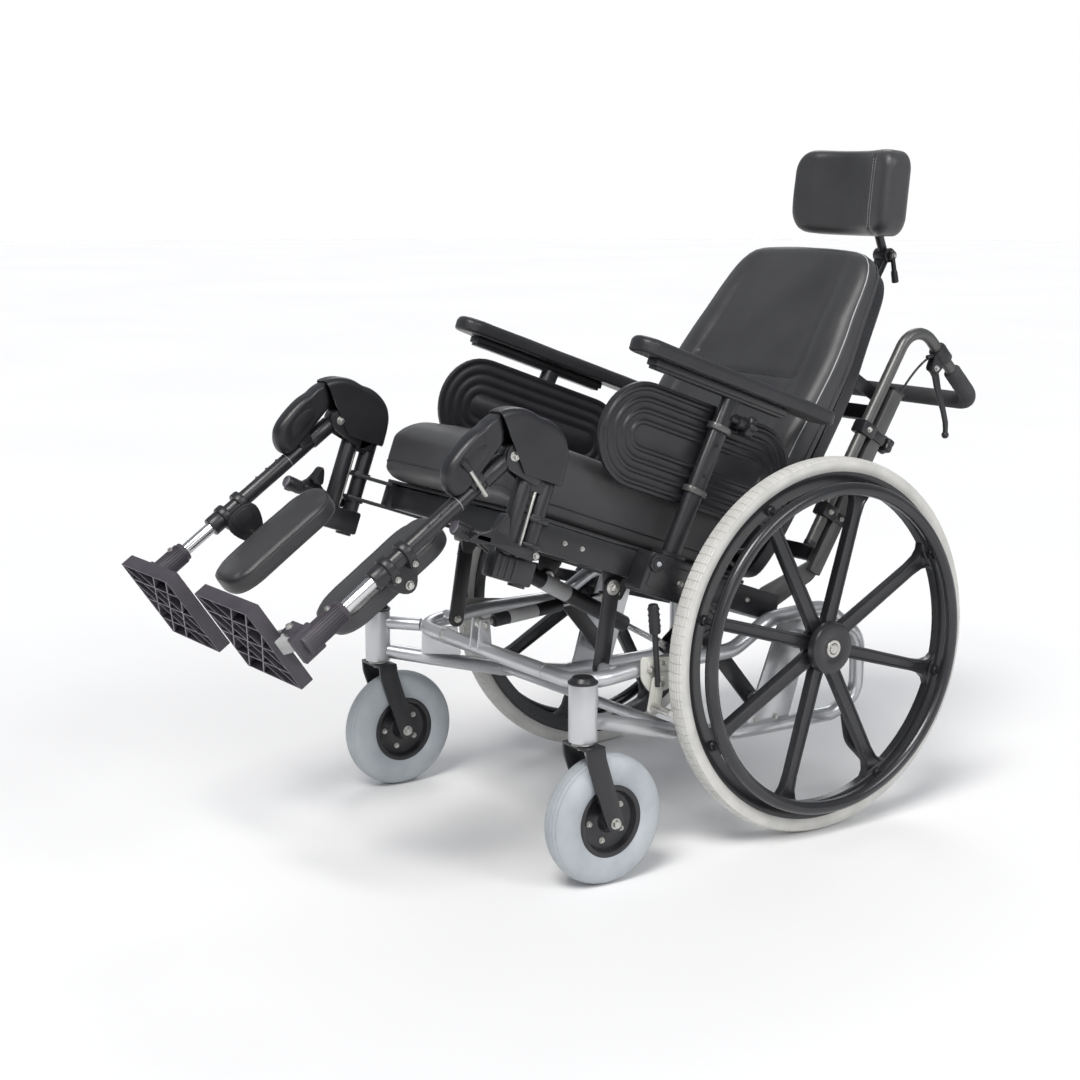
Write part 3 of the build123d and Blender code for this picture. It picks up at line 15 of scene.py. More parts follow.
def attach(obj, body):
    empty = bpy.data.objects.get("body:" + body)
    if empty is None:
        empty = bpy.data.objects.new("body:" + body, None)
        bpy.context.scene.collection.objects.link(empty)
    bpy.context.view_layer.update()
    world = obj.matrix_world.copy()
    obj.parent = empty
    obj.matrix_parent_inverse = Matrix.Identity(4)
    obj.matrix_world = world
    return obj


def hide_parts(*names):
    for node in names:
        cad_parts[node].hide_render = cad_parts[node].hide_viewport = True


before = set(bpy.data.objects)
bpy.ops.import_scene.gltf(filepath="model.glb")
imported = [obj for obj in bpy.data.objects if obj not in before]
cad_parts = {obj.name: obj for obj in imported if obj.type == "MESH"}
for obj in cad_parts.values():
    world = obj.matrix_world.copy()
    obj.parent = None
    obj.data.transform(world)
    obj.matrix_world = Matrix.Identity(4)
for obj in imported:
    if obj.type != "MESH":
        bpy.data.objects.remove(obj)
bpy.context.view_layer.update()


def show(name, data):
    """Makes an object of the data and puts it in the scene."""
    made = bpy.data.objects.new(name, data)
    bpy.context.scene.collection.objects.link(made)
    return made


# %% [markdown]
# The camera stands in front of the chair on its left, a little above the arm rests, and
# looks slightly down. A long lens keeps the wheels from looking stretched.

# %% Camera
AXLE_BEHIND_MIDDLE = 258.6
LENS, SENSOR = 64.556, 36.0
TURN, DIP = math.radians(55.16), math.radians(10.64)
STAND = Vector((2.51988, -2.09443 + AXLE_BEHIND_MIDDLE / 1000, 1.04383))

camera_data = bpy.data.cameras.new("camera")
camera_data.sensor_fit = "HORIZONTAL"
camera_data.sensor_width = SENSOR
camera_data.lens = LENS
camera = show("camera", camera_data)
right = Vector((math.cos(TURN), math.sin(TURN), 0))
ahead = Vector((-math.sin(TURN) * math.cos(DIP), math.cos(TURN) * math.cos(DIP), -math.sin(DIP)))
facing = Matrix((right, right.cross(ahead), -ahead)).transposed().to_4x4()
camera.matrix_world = Matrix.Translation(STAND) @ facing
bpy.context.scene.camera = camera

# %% [markdown]
# Places on the chair repeat a few slopes: the seat leans back 20 degrees, the back 12
# more, the leg tubes hang down from the knees. Each slope gets a matrix, so a piece can
# be drawn square to itself and then put in place.

# %% Places
def turned_x(degrees):
    return Matrix.Rotation(math.radians(degrees), 4, "X")


KNEE = (-282, 124)
LEG_X = 255
CHAIR = Matrix.Scale(0.001, 4) @ Matrix.Translation((0, AXLE_BEHIND_MIDDLE, 0))
SEAT = CHAIR @ Matrix.Translation((0, -349, 441)) @ turned_x(-20)
BACK = SEAT @ Matrix.Translation((0, 318, 30)) @ turned_x(-12)
LEG = SEAT @ Matrix.Translation((0, *KNEE)) @ turned_x(54.8)
HEAD = CHAIR @ Matrix.Translation((0, 352, 1013)) @ turned_x(-6)
MIRROR = Matrix.Scale(-1, 4, (1, 0, 0))
LEFT, RIGHT, REAR, UP, DOWN = (1, 0, 0), (-1, 0, 0), (0, 1, 0), (0, 0, 1), (0, 0, -1)

# %% [markdown]
# A piece is one mesh made of simple shapes. The helper below keeps the mesh and a list
# of finishes: faces that are still unpainted take the finish named last. A piece stands
# for the solid of the same name, unless its solid is named. Some bodies carry both sides.

# %% The piece
ONE_FOR_BOTH = ("base", "seat", "back", "push_handle", "front_link", "rear_link")
SHARP = math.radians(38)


class Piece:
    def __init__(self):
        self.bm = bmesh.new()
        self.finishes = []

    def paint(self, finish):
        """Gives the faces drawn since the last call this finish."""
        if finish not in self.finishes:
            self.finishes.append(finish)
        index = self.finishes.index(finish) + 1
        for face in self.bm.faces:
            if face.material_index == 0:
                face.material_index = index

    def place(self, name, body, node=None, at=CHAIR):
        """Makes the object, puts it in its place and lets it ride on its body."""
        bm = self.bm
        bmesh.ops.transform(bm, matrix=at, verts=bm.verts)
        for face in bm.faces:
            face.material_index = max(face.material_index - 1, 0)
            face.smooth = True
        mesh = bpy.data.meshes.new(name)
        bm.to_mesh(mesh)
        bm.free()
        for finish in self.finishes:
            mesh.materials.append(finish)
        mesh.set_sharp_from_angle(angle=SHARP)
        piece = show(name, mesh)
        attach(piece, body)
        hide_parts(node or name)
        return piece

    def other_side(self):
        """A copy for the sitter's right, with its faces turned the right way out."""
        twin = Piece()
        twin.bm = self.bm.copy()
        twin.finishes = list(self.finishes)
        bmesh.ops.transform(twin.bm, matrix=MIRROR, verts=twin.bm.verts)
        bmesh.ops.reverse_faces(twin.bm, faces=twin.bm.faces)
        return twin

    def place_pair(self, name, body, **rest):
        """Places the piece on the left and its twin on the right."""
        pieces = []
        for side, piece in {"left": self, "right": self.other_side()}.items():
            on = body if body in ONE_FOR_BOTH else f"{body}_{side}"
            pieces.append(piece.place(f"{name}_{side}", on, **rest))
        return pieces

# %% [markdown]
# A few shapes return all over the chair. A bar is a cone or cylinder with eased rims. A
# block is a cube with eased edges. A plate is an outline pushed sideways. A tube is a
# circle that is pushed along each straight run and spun round each bend. A turned part is
# a profile spun once round its axle.

# %% Shapes
def along(direction):
    """A turn that brings the z axis onto this direction."""
    return Vector(direction).to_track_quat("Z", "Y").to_matrix().to_4x4()


def eased(bm, edges, width, steps=2):
    """Rounds edges over by a small width."""
    if width:
        bmesh.ops.bevel(bm, geom=list(edges), offset=width, offset_type="OFFSET", segments=steps,
                        profile=0.5, affect="EDGES", material=-1, clamp_overlap=True)


def crisp(edges, least=35):
    """The edges whose faces meet at more than this angle."""
    limit = math.radians(least)
    return [e for e in edges if len(e.link_faces) == 2 and e.calc_face_angle(0) > limit]


def edges_of(verts):
    return list({edge for vert in verts for edge in vert.link_edges})


def faces_of(verts):
    return list({face for vert in verts for face in vert.link_faces})


def borders(faces):
    return {edge for face in faces for edge in face.edges}


def only(items, kind):
    return [item for item in items if isinstance(item, kind)]


def inset(bm, faces, width, depth=0.0, even=True):
    """Draws a loop inside flat faces, and lifts or sinks what it holds."""
    bmesh.ops.inset_region(bm, faces=faces, thickness=width, depth=depth, use_even_offset=even)


def bar(piece, start, end, radius, end_radius=None, sides=32, ease=0.6):
    """A round bar between two points, narrower at its end if an end radius is given."""
    start, end = Vector(start), Vector(end)
    place = Matrix.Translation((start + end) / 2) @ along(end - start)
    made = bmesh.ops.create_cone(piece.bm, cap_ends=True, segments=sides, radius1=radius,
                                 radius2=radius if end_radius is None else end_radius,
                                 depth=(end - start).length, matrix=place)
    eased(piece.bm, crisp(edges_of(made["verts"]), 50), ease)


def across(piece, x0, x1, y, z, radius, **rest):
    bar(piece, (x0, y, z), (x1, y, z), radius, **rest)


def block(piece, low, high, ease=1.0):
    low, high = Vector(low), Vector(high)
    size = Matrix.Diagonal((*(high - low), 1))
    made = bmesh.ops.create_cube(piece.bm, size=1, matrix=Matrix.Translation((low + high) / 2) @ size)
    eased(piece.bm, edges_of(made["verts"]), ease)


def outline_face(bm, points, corner=0.0, steps=4):
    """One flat face through the points, with rounded corners."""
    face = bm.faces.new([bm.verts.new(point) for point in points])
    if corner:
        made = bmesh.ops.bevel(bm, geom=list(face.verts), offset=corner, segments=steps, profile=0.5,
                               offset_type="OFFSET", affect="VERTICES", material=-1, clamp_overlap=True)
        face = made["verts"][0].link_faces[0]
    return face


def pushed(bm, face, shift, ease=0.6):
    """Gives a flat face a thickness."""
    before = set(bm.faces) - {face}
    made = bmesh.ops.extrude_face_region(bm, geom=[face])
    bmesh.ops.translate(bm, vec=shift, verts=only(made["geom"], bmesh.types.BMVert))
    fresh = [f for f in bm.faces if f not in before]
    bmesh.ops.recalc_face_normals(bm, faces=fresh)
    eased(bm, crisp(borders(fresh), 40), ease)


def plate(piece, outline, x0, x1, corner=0.0, ease=0.6):
    """A flat piece with its outline in y and z, from x0 to x1."""
    face = outline_face(piece.bm, [(x0, y, z) for y, z in outline], corner)
    pushed(piece.bm, face, (x1 - x0, 0, 0), ease)


def slab(piece, outline, z0, z1, corner=0.0, ease=0.6):
    """A flat piece with its outline in x and y, from z0 to z1."""
    face = outline_face(piece.bm, [(x, y, z0) for x, y in outline], corner)
    pushed(piece.bm, face, (0, 0, z1 - z0), ease)


def oblong(low, high, half, steps=10):
    """The outline in y and z of a link, round about both of its pivots."""
    slope = math.atan2(high[1] - low[1], high[0] - low[0])
    points = []
    for centre, first in ((high, slope - math.pi / 2), (low, slope + math.pi / 2)):
        for step in range(steps + 1):
            angle = first + math.pi * step / steps
            points.append((centre[0] + half * math.cos(angle), centre[1] + half * math.sin(angle)))
    return points


def drawn(piece, draw, *what, **how):
    """Draws a shape on the piece and says which corners are new."""
    before = set(piece.bm.verts)
    draw(piece, *what, **how)
    return [vert for vert in piece.bm.verts if vert not in before]


def moved(piece, matrix, draw, *what, **how):
    """Draws a shape square to itself and then moves it by the matrix."""
    bmesh.ops.transform(piece.bm, matrix=matrix, verts=drawn(piece, draw, *what, **how))


def mirrored(piece, draw, *what, **how):
    """Draws a shape on the left and again, mirrored, on the right."""
    draw(piece, *what, **how)
    fresh = drawn(piece, draw, *what, **how)
    bmesh.ops.transform(piece.bm, matrix=MIRROR, verts=fresh)
    bmesh.ops.reverse_faces(piece.bm, faces=faces_of(fresh))


def tube(piece, points, bends, radius, sides=24):
    """A tube through the points, with a bend of its own radius at each inner point."""
    bm = piece.bm
    points = [Vector(point) for point in points]
    run = (points[1] - points[0]).normalized()
    place = Matrix.Translation(points[0]) @ along(run)
    verts = bmesh.ops.create_circle(bm, cap_ends=False, radius=radius, segments=sides, matrix=place)["verts"]
    loop = edges_of(verts)
    first_loop = list(loop)
    here = points[0]

    def forward(target):
        made = bmesh.ops.extrude_edge_only(bm, edges=loop)["geom"]
        ring = only(made, bmesh.types.BMVert)
        bmesh.ops.translate(bm, vec=target - here, verts=ring)
        return [edge for edge in only(made, bmesh.types.BMEdge) if all(vert in ring for vert in edge.verts)]

    for corner, after, bend in zip(points[1:], points[2:], bends):
        leave = (after - corner).normalized()
        angle = run.angle(leave)
        reach = bend * math.tan(angle / 2)
        loop = forward(corner - run * reach)
        here = corner - run * reach
        inward = (leave - run * run.dot(leave)).normalized()
        steps = max(2, round(math.degrees(angle) / 9))
        rim = list({vert for edge in loop for vert in edge.verts}) + loop
        made = bmesh.ops.spin(bm, geom=rim, cent=here + inward * bend, axis=run.cross(leave).normalized(),
                              angle=angle, steps=steps, use_merge=False)
        loop = only(made["geom_last"], bmesh.types.BMEdge)
        here = corner + leave * reach
        run = leave
    loop = forward(points[-1])
    for end in (first_loop, loop):
        bmesh.ops.edgeloop_fill(bm, edges=end)
    tidy_island(bm, {vert for edge in loop for vert in edge.verts})


def tidy_island(bm, verts):
    """Turns the faces outwards on the shape that these corners belong to."""
    known, front = set(verts), list(verts)
    while front:
        vert = front.pop()
        for edge in vert.link_edges:
            other = edge.other_vert(vert)
            if other not in known:
                known.add(other)
                front.append(other)
    bmesh.ops.recalc_face_normals(bm, faces=faces_of(known))


def turned(piece, profile, centre, sides):
    """Spins a closed outline of (x, radius) points once round an axle through the centre."""
    bm = piece.bm
    verts = [bm.verts.new((x, 0, r)) for x, r in profile]
    edges = [bm.edges.new(pair) for pair in zip(verts, verts[1:] + verts[:1])]
    before = set(bm.verts) - set(verts)
    bmesh.ops.spin(bm, geom=verts + edges, cent=(0, 0, 0), axis=(1, 0, 0), angle=2 * math.pi, steps=sides,
                   use_merge=True)
    made = [vert for vert in bm.verts if vert not in before]
    bmesh.ops.remove_doubles(bm, verts=made, dist=0.0005)
    made = [vert for vert in bm.verts if vert not in before]
    bmesh.ops.recalc_face_normals(bm, faces=faces_of(made))
    bmesh.ops.transform(bm, matrix=Matrix.Translation(centre), verts=made)


def screw(piece, at, way, size=5.0, hexagon=True):
    """A bolt head on its washer, at a point of a face, pointing outwards."""
    at, way = Vector(at), Vector(way).normalized()
    bar(piece, at - way * 0.4, at + way * 1.0, size * 1.15, sides=24, ease=0.3)
    if hexagon:
        bar(piece, at + way * 0.8, at + way * (1 + size * 0.75), size * 0.92, size * 0.86, sides=6, ease=0.5)
        bar(piece, at + way * size * 0.75, at + way * (1.4 + size * 0.75), size * 0.55, size * 0.4, sides=16,
            ease=0.3)
        return
    before = set(piece.bm.faces)
    bar(piece, at + way * 0.8, at + way * (1 + size * 0.7), size * 0.85, sides=20, ease=0.4)
    tops = [f for f in piece.bm.faces if f not in before and len(f.verts) == 20 and f.normal.dot(way) > 0.9]
    for face in tops:
        bmesh.ops.inset_individual(piece.bm, faces=[face], thickness=size * 0.38, depth=0)
        bmesh.ops.inset_individual(piece.bm, faces=[face], thickness=size * 0.02, depth=-size * 0.4)


# %% [markdown]
# Finishes are grown from noise in the piece's own space, so they stay put as parts move.
# Each one mixes two near colours in soft patches, varies its gloss, and has a fine grain
# that catches the light. Leatherette gets small round cells instead, as embossed skin has.

# %% Finishes
def node(tree, kind, **values):
    """A new node with these input values; an underscore in a name stands for a space."""
    made = tree.nodes.new("ShaderNode" + kind)
    for name, value in values.items():
        made.inputs[name.replace("_", " ")].default_value = value
    return made


def link(tree, *pairs):
    """Each pair holds a node with its output and a node with its input."""
    for source, output, target, into in pairs:
        tree.links.new(source.outputs[output], target.inputs[into])


def finish(name, colour, other, gloss, metal=0.0, patch=12.0, grain=600.0, depth=0.15, vary=0.06,
           stretch=(1, 1, 1), coat=0.0, sheen=0.0, cells=0.0, specular=0.5):
    material = bpy.data.materials.new(name)
    material.use_nodes = True
    material.diffuse_color = (*colour, 1)
    tree = material.node_tree
    shader = tree.nodes["Principled BSDF"]
    for key, value in {"Metallic": metal, "Coat Weight": coat, "Coat Roughness": 0.25, "Sheen Weight": sheen,
                       "Specular IOR Level": specular}.items():
        shader.inputs[key].default_value = value
    place = node(tree, "TexCoord")
    mapping = node(tree, "Mapping", Scale=stretch)
    soft = node(tree, "TexNoise", Scale=patch, Detail=4)
    ramp = node(tree, "ValToRGB")
    for stop, position, tone in zip(ramp.color_ramp.elements, (0.35, 0.68), (colour, other)):
        stop.position = position
        stop.color = (*tone, 1)
    span = node(tree, "MapRange", To_Min=max(gloss - vary, 0.03), To_Max=min(gloss + vary, 1))
    fine = node(tree, "TexNoise", Scale=patch * 6, Detail=6)
    bump = node(tree, "Bump", Strength=depth, Distance=0.0004)
    height = node(tree, "TexVoronoi" if cells else "TexNoise", Scale=cells or grain)
    link(tree, (place, "Object", mapping, "Vector"), (mapping, "Vector", soft, "Vector"),
         (soft, "Fac", ramp, "Fac"), (ramp, "Color", shader, "Base Color"),
         (mapping, "Vector", fine, "Vector"), (fine, "Fac", span, "Value"),
         (span, "Result", shader, "Roughness"), (mapping, "Vector", height, "Vector"),
         (height, "Distance" if cells else "Fac", bump, "Height"), (bump, "Normal", shader, "Normal"))
    return material


satin = finish("satin_aluminium", (0.52, 0.53, 0.55), (0.60, 0.61, 0.62), 0.34, metal=0.75, patch=9,
               depth=0.12, stretch=(1, 1, 0.4), coat=0.2)
powder = finish("black_powder_coat", (0.013, 0.013, 0.015), (0.018, 0.018, 0.020), 0.32, patch=14, grain=1400,
                depth=0.25, coat=0.15)
moulded = finish("black_moulding", (0.013, 0.013, 0.015), (0.020, 0.020, 0.023), 0.34, patch=16, grain=2200,
                 depth=0.2)
wheel_black = finish("wheel_moulding", (0.014, 0.014, 0.016), (0.022, 0.022, 0.025), 0.30, patch=10,
                     grain=1800, depth=0.12, coat=0.1)
skin = finish("leatherette", (0.032, 0.032, 0.034), (0.046, 0.046, 0.048), 0.37, patch=7, depth=0.35,
              cells=1100, sheen=0.06, vary=0.08)
skin_dark = finish("dark_leatherette", (0.013, 0.013, 0.015), (0.021, 0.021, 0.024), 0.36, patch=9,
                   depth=0.35, cells=1000, sheen=0.05, vary=0.08)
piping = finish("pale_piping", (0.42, 0.42, 0.43), (0.55, 0.55, 0.56), 0.5, patch=40, grain=900, depth=0.3)
tread = finish("rear_tyre_rubber", (0.56, 0.555, 0.53), (0.66, 0.655, 0.63), 0.62, patch=18, grain=1500,
               depth=0.35)
wall_rubber = finish("rear_tyre_wall", (0.52, 0.515, 0.49), (0.63, 0.62, 0.595), 0.6, patch=22, grain=1300,
                     depth=0.3)
caster_grey = finish("caster_rubber", (0.36, 0.39, 0.42), (0.45, 0.48, 0.50), 0.55, patch=20, grain=1500,
                     depth=0.3)
rim_dark = finish("push_rim_coating", (0.030, 0.030, 0.033), (0.045, 0.045, 0.049), 0.24, metal=0.5, patch=9,
                  depth=0.1, coat=0.3)
chrome = finish("chromed_tube", (0.62, 0.62, 0.63), (0.72, 0.72, 0.73), 0.13, metal=1.0, patch=10, depth=0.04,
                vary=0.05)
zinc = finish("zinc_plate", (0.50, 0.49, 0.46), (0.62, 0.61, 0.58), 0.34, metal=0.9, patch=50, grain=1200,
              depth=0.15)
foam = finish("grip_foam", (0.040, 0.040, 0.043), (0.058, 0.058, 0.062), 0.85, patch=30, grain=2600,
              depth=0.6)
back_rail = finish("rail_coating", (0.10, 0.10, 0.098), (0.14, 0.14, 0.136), 0.34, metal=0.5, patch=10,
                   depth=0.12)
lock_white = finish("lock_coating", (0.50, 0.50, 0.46), (0.62, 0.62, 0.57), 0.45, patch=18, grain=900,
                    depth=0.2)
foot_grey = finish("footplate_moulding", (0.046, 0.040, 0.050), (0.066, 0.058, 0.071), 0.5, patch=14,
                   grain=1600, depth=0.35)
# A paler finish for the lower edges of the footplate ribs and the end of the latch grip.
foot_edge = finish("pale_edge", (0.16, 0.14, 0.17), (0.24, 0.22, 0.25), 0.55, patch=60, grain=1600,
                   depth=0.3)
label = finish("bare_label", (0.38, 0.38, 0.38), (0.46, 0.46, 0.46), 0.45, patch=30, grain=1500, depth=0.1)
weave = finish("mesh_cloth", (0.016, 0.016, 0.018), (0.026, 0.026, 0.029), 0.8, patch=20, depth=0.8,
               cells=520, sheen=0.1)
print("finishes", len(bpy.data.materials))

# %% [markdown]
# The chair stands on a plain pale floor under large soft lamps, as in a product studio.
# The camera sees white behind it. The lamps are bright enough to wash the floor white, so
# that only the shade below the chair is left of it.

# %% Studio
world = bpy.data.worlds.new("studio")
bpy.context.scene.world = world
world.use_nodes = True
sky = world.node_tree
fill = sky.nodes["Background"]
fill.inputs["Color"].default_value = (0.90, 0.93, 1.0, 1)
fill.inputs["Strength"].default_value = 0.38
white = node(sky, "Background", Strength=1.0, Color=(1, 1, 1, 1))
path = node(sky, "LightPath")
blend = node(sky, "MixShader")
link(sky, (path, "Is Camera Ray", blend, "Fac"), (fill, "Background", blend, 1),
     (white, "Background", blend, 2), (blend, "Shader", sky.nodes["World Output"], "Surface"))

floor_finish = finish("studio_floor", (0.86, 0.86, 0.86), (0.88, 0.88, 0.88), 0.9, patch=0.6, grain=40,
                      depth=0.02, specular=0.1)
floor_mesh = bmesh.new()
bmesh.ops.create_circle(floor_mesh, cap_ends=True, radius=30, segments=96)
floor_data = bpy.data.meshes.new("floor")
floor_mesh.to_mesh(floor_data)
floor_mesh.free()
floor_data.materials.append(floor_finish)
floor = show("floor", floor_data)


def lamp(name, kind, at, energy, **shape):
    """A lamp that looks at the middle of the chair."""
    data = bpy.data.lights.new(name, kind)
    data.energy = energy
    for key, value in shape.items():
        setattr(data, key, value)
    made = show(name, data)
    made.location = at
    made.rotation_euler = (CHAIR_MIDDLE - Vector(at)).to_track_quat("-Z", "Y").to_euler()


WIDE = math.radians(24)
CHAIR_MIDDLE = Vector((0, 0, 0.5))
lamp("key", "SUN", (1.4, -2.2, 4.2), 2.2, angle=WIDE, color=(1.0, 0.985, 0.96))
lamp("side", "SUN", (4.0, 1.0, 3.2), 0.8, angle=WIDE)
lamp("behind", "SUN", (-3.0, 2.6, 3.6), 0.5, angle=WIDE)
lamp("sheen", "AREA", (3.2, -1.4, 1.9), 14, size=1.6)
bpy.context.scene.view_settings.view_transform = "Standard"

# %% [markdown]
# Each rear wheel is one moulding: a deep rim, eight spokes with a groove down each face,
# and a stepped hub. One spoke is drawn pointing up, its root and its end flared as the
# mould needs, and then repeated round the axle.

# %% Rear wheels
WHEEL_X, WHEEL_RADIUS = 300.0, 305.0
SPOKES, SPOKE_PHASE = 8, 28.3
WHEEL_CENTRE = (WHEEL_X, 0, WHEEL_RADIUS)


def repeat(piece, count, phase, centre, draw):
    """Draws a shape pointing up from the x axis, count times round the centre."""
    for index in range(count):
        moved(piece, Matrix.Translation(centre) @ turned_x(phase + index * 360 / count), draw)


def grooved(piece, outline, x0, x1, rim, deep, ease):
    """A plate whose two broad faces are sunk inside a raised edge."""
    before = set(piece.bm.faces)
    plate(piece, outline, x0, x1, ease=0)
    broad = [f for f in piece.bm.faces if f not in before and len(f.verts) == len(outline)]
    for face in broad:
        inset(piece.bm, [face], rim)
        inset(piece.bm, [face], deep * 0.35, -deep)
    fresh = [f for f in piece.bm.faces if f not in before]
    eased(piece.bm, crisp(borders(fresh), 50), ease)


def draw_spoke(piece):
    half = [(13, 24), (11, 60), (10, 215), (12, 236), (18, 249), (30, 257.5)]
    outline = [(-y, z) for y, z in half] + half[::-1]
    grooved(piece, outline, -7.5, 7.5, rim=3.2, deep=3.0, ease=0.9)


def draw_standoff(piece):
    """Holds the push rim off the wheel's rim."""
    bar(piece, (6, 0, 262), (30, 0, 260), 5.5, sides=16)
    bar(piece, (11, 0, 263), (16, 0, 262.5), 9, 7.5, sides=20)


wheel = Piece()
turned(wheel, [(-13, 282), (-13, 273), (-10.5, 269), (-10.5, 262), (-7, 256.5), (7, 256.5), (10.5, 262),
               (10.5, 269), (13, 273), (13, 282), (10, 282), (8, 276), (-8, 276), (-10, 282)],
       WHEEL_CENTRE, sides=144)
repeat(wheel, SPOKES, SPOKE_PHASE, WHEEL_CENTRE, draw_spoke)
turned(wheel, [(-24, 9), (-24, 25), (-22, 27), (-9, 27), (-8, 30), (8, 31), (11, 33), (12, 38), (14, 42),
               (24, 42), (26.5, 40.5), (28, 36), (28.6, 22), (27.4, 20), (27.4, 15), (28.6, 13.5),
               (28.6, 9)], WHEEL_CENTRE, sides=72)
wheel.paint(wheel_black)
turned(wheel, [(27.3, 14.6), (29.2, 13.8), (29.2, 9.2), (27.3, 9.2)], WHEEL_CENTRE, sides=48)
wheel.paint(zinc)
valve = math.radians(SPOKE_PHASE + 180 / SPOKES)
base, tip = ((WHEEL_X, -math.sin(valve) * reach, WHEEL_RADIUS + math.cos(valve) * reach)
             for reach in (257, 236))
bar(wheel, base, tip, 3.2, 2.6, sides=16)
wheel.paint(moulded)
wheel.place_pair("rear_wheel", "wheel")

rim = Piece()
steps = [k * math.pi / 8 for k in range(16)]
turned(rim, [(36 + 10.5 * math.cos(a), 258 + 10.5 * math.sin(a)) for a in steps], WHEEL_CENTRE, sides=144)
rim.paint(rim_dark)
repeat(rim, SPOKES, SPOKE_PHASE, WHEEL_CENTRE, draw_standoff)
rim.paint(wheel_black)
rim.place_pair("push_rim", "wheel")

# %% [markdown]
# The tyre is a turned profile. Its tread is cut the way a mould does it: the band is
# divided into rows of small fields, and each field is raised into a block.

# %% Rear tyres
tyre = Piece()
shoulder = [(-11.5, 281), (-14.5, 285), (-16.2, 290), (-16.2, 295), (-14.6, 299.2), (-11.6, 301.6),
            (-7.2, 303), (-2.6, 303.5)]
turned(tyre, shoulder + [(-x, r) for x, r in shoulder[::-1]], WHEEL_CENTRE, sides=132)
TREAD_FROM, TREAD_HALF = 299.5, 15
blocks = []
for face in tyre.bm.faces:
    middle = face.calc_center_median() - Vector(WHEEL_CENTRE)
    if math.hypot(middle.y, middle.z) > TREAD_FROM and abs(middle.x) < TREAD_HALF:
        blocks.append(face)
bmesh.ops.inset_individual(tyre.bm, faces=blocks, thickness=1.25, depth=1.4)
tyre.paint(wall_rubber)
for face in blocks:
    face.material_index = 2
tyre.finishes.append(tread)
tyre.place_pair("rear_tyre", "wheel")
print("tread blocks", len(blocks))

# %% [markdown]
# The casters have pale grey tyres with fine grooves round the tread, dished black rims
# held by bolts, and forks folded from strap. The fork's stem turns in the frame's
# housing, so fork and wheel are separate pieces on their own axes.

# %% Casters
CASTER_X, CASTER_Y, AXLE_Y, CASTER_RADIUS = 299.0, -472.0, -434.0, 100.0
CASTER_CENTRE = (CASTER_X, AXLE_Y, CASTER_RADIUS)
FORK_AXLE = (AXLE_Y - CASTER_Y, CASTER_RADIUS)
DISC_BOLTS = 5

caster = Piece()
half = [(-20, 55.8), (-22.5, 60), (-24, 68), (-24, 78), (-22.4, 86), (-19, 92.5), (-14.8, 96.4),
        (-14.2, 95.2), (-13.6, 97), (-8.4, 99), (-7.9, 97.6), (-7.4, 99.3), (-2.4, 99.9), (-1.9, 98.6),
        (-1.4, 100)]
turned(caster, half + [(-x, r) for x, r in half[::-1]], CASTER_CENTRE, sides=96)
caster.paint(caster_grey)
caster.place_pair("caster_tyre", "caster_wheel")

disc = Piece()
face = [(19.5, 55.8), (20.5, 52), (19, 48), (15, 46.5), (10, 44), (8.5, 40), (8.5, 22), (11, 18), (20, 15.5),
        (23.5, 14), (24, 12.5), (24, 6)]
turned(disc, face + [(-x, r) for x, r in face[::-1]], CASTER_CENTRE, sides=72)
disc.paint(wheel_black)


def draw_rim_bolt(piece):
    screw(piece, (8.6, 0, 32), LEFT, 4.2, hexagon=False)
    screw(piece, (-8.6, 0, 32), RIGHT, 4.2)


repeat(disc, DISC_BOLTS, 20, CASTER_CENTRE, draw_rim_bolt)
disc.paint(zinc)
disc.place_pair("caster_rim", "caster_wheel")

fork = Piece()
for x0, x1 in ((27, 32), (-32, -27)):
    plate(fork, [(-15, 221), (19, 221), (20, 206), (53, 104), (49, 89), (38, 85), (27, 89), (22, 101),
                 (-13, 200)], x0, x1, corner=5, ease=0.8)
block(fork, (-31.5, -15, 217), (31.5, 19, 222), 1.2)
fork.paint(powder)
bar(fork, (0, 0, 221), (0, 0, 225.4), 17, 15)
bar(fork, (0, 0, 224), (0, 0, 317), 8)
across(fork, -31, 31, *FORK_AXLE, 5)
across(fork, 24.5, 27.2, *FORK_AXLE, 8.5)
across(fork, -27.2, -24.5, *FORK_AXLE, 8.5)
screw(fork, (32, *FORK_AXLE), LEFT, 7.5)
screw(fork, (-32, *FORK_AXLE), RIGHT, 7.5)
bar(fork, (0, 0, 213), (0, 0, 217.2), 9, sides=6)
fork.paint(zinc)
bmesh.ops.translate(fork.bm, vec=(CASTER_X, CASTER_Y, 0), verts=fork.bm.verts)
fork.place_pair("caster_fork", "caster_swivel")

# %% [markdown]
# One long tube makes each side of the base: from the front cross tube back under the
# seat, down behind the axle and forward again to the caster housing. A welded plate
# carries the wheel's axle and the rear link. The cross tubes tie both sides together.

# %% Base frame
SIDE_X = 240
SIDE_RUN = [(-430, 292), (-289, 304), (-135, 304), (-60, 345), (60, 350), (138, 290), (138, 190), (80, 166),
            (-124, 168), (-258, 191), (-404, 232)]
SIDE_ROUTE = [(150, -430, 292), *((SIDE_X, y, z) for y, z in SIDE_RUN), (291, -464, 243)]
SIDE_BENDS = [50, 60, 60, 60, 60, 45, 40, 45, 60, 60, 50]
FRONT_LOW, REAR_LOW = (-371, 302), (-61, 207)
LOW_PIVOTS = ((206, FRONT_LOW), (200, REAR_LOW))
TILT_EYE = (-429, 333)

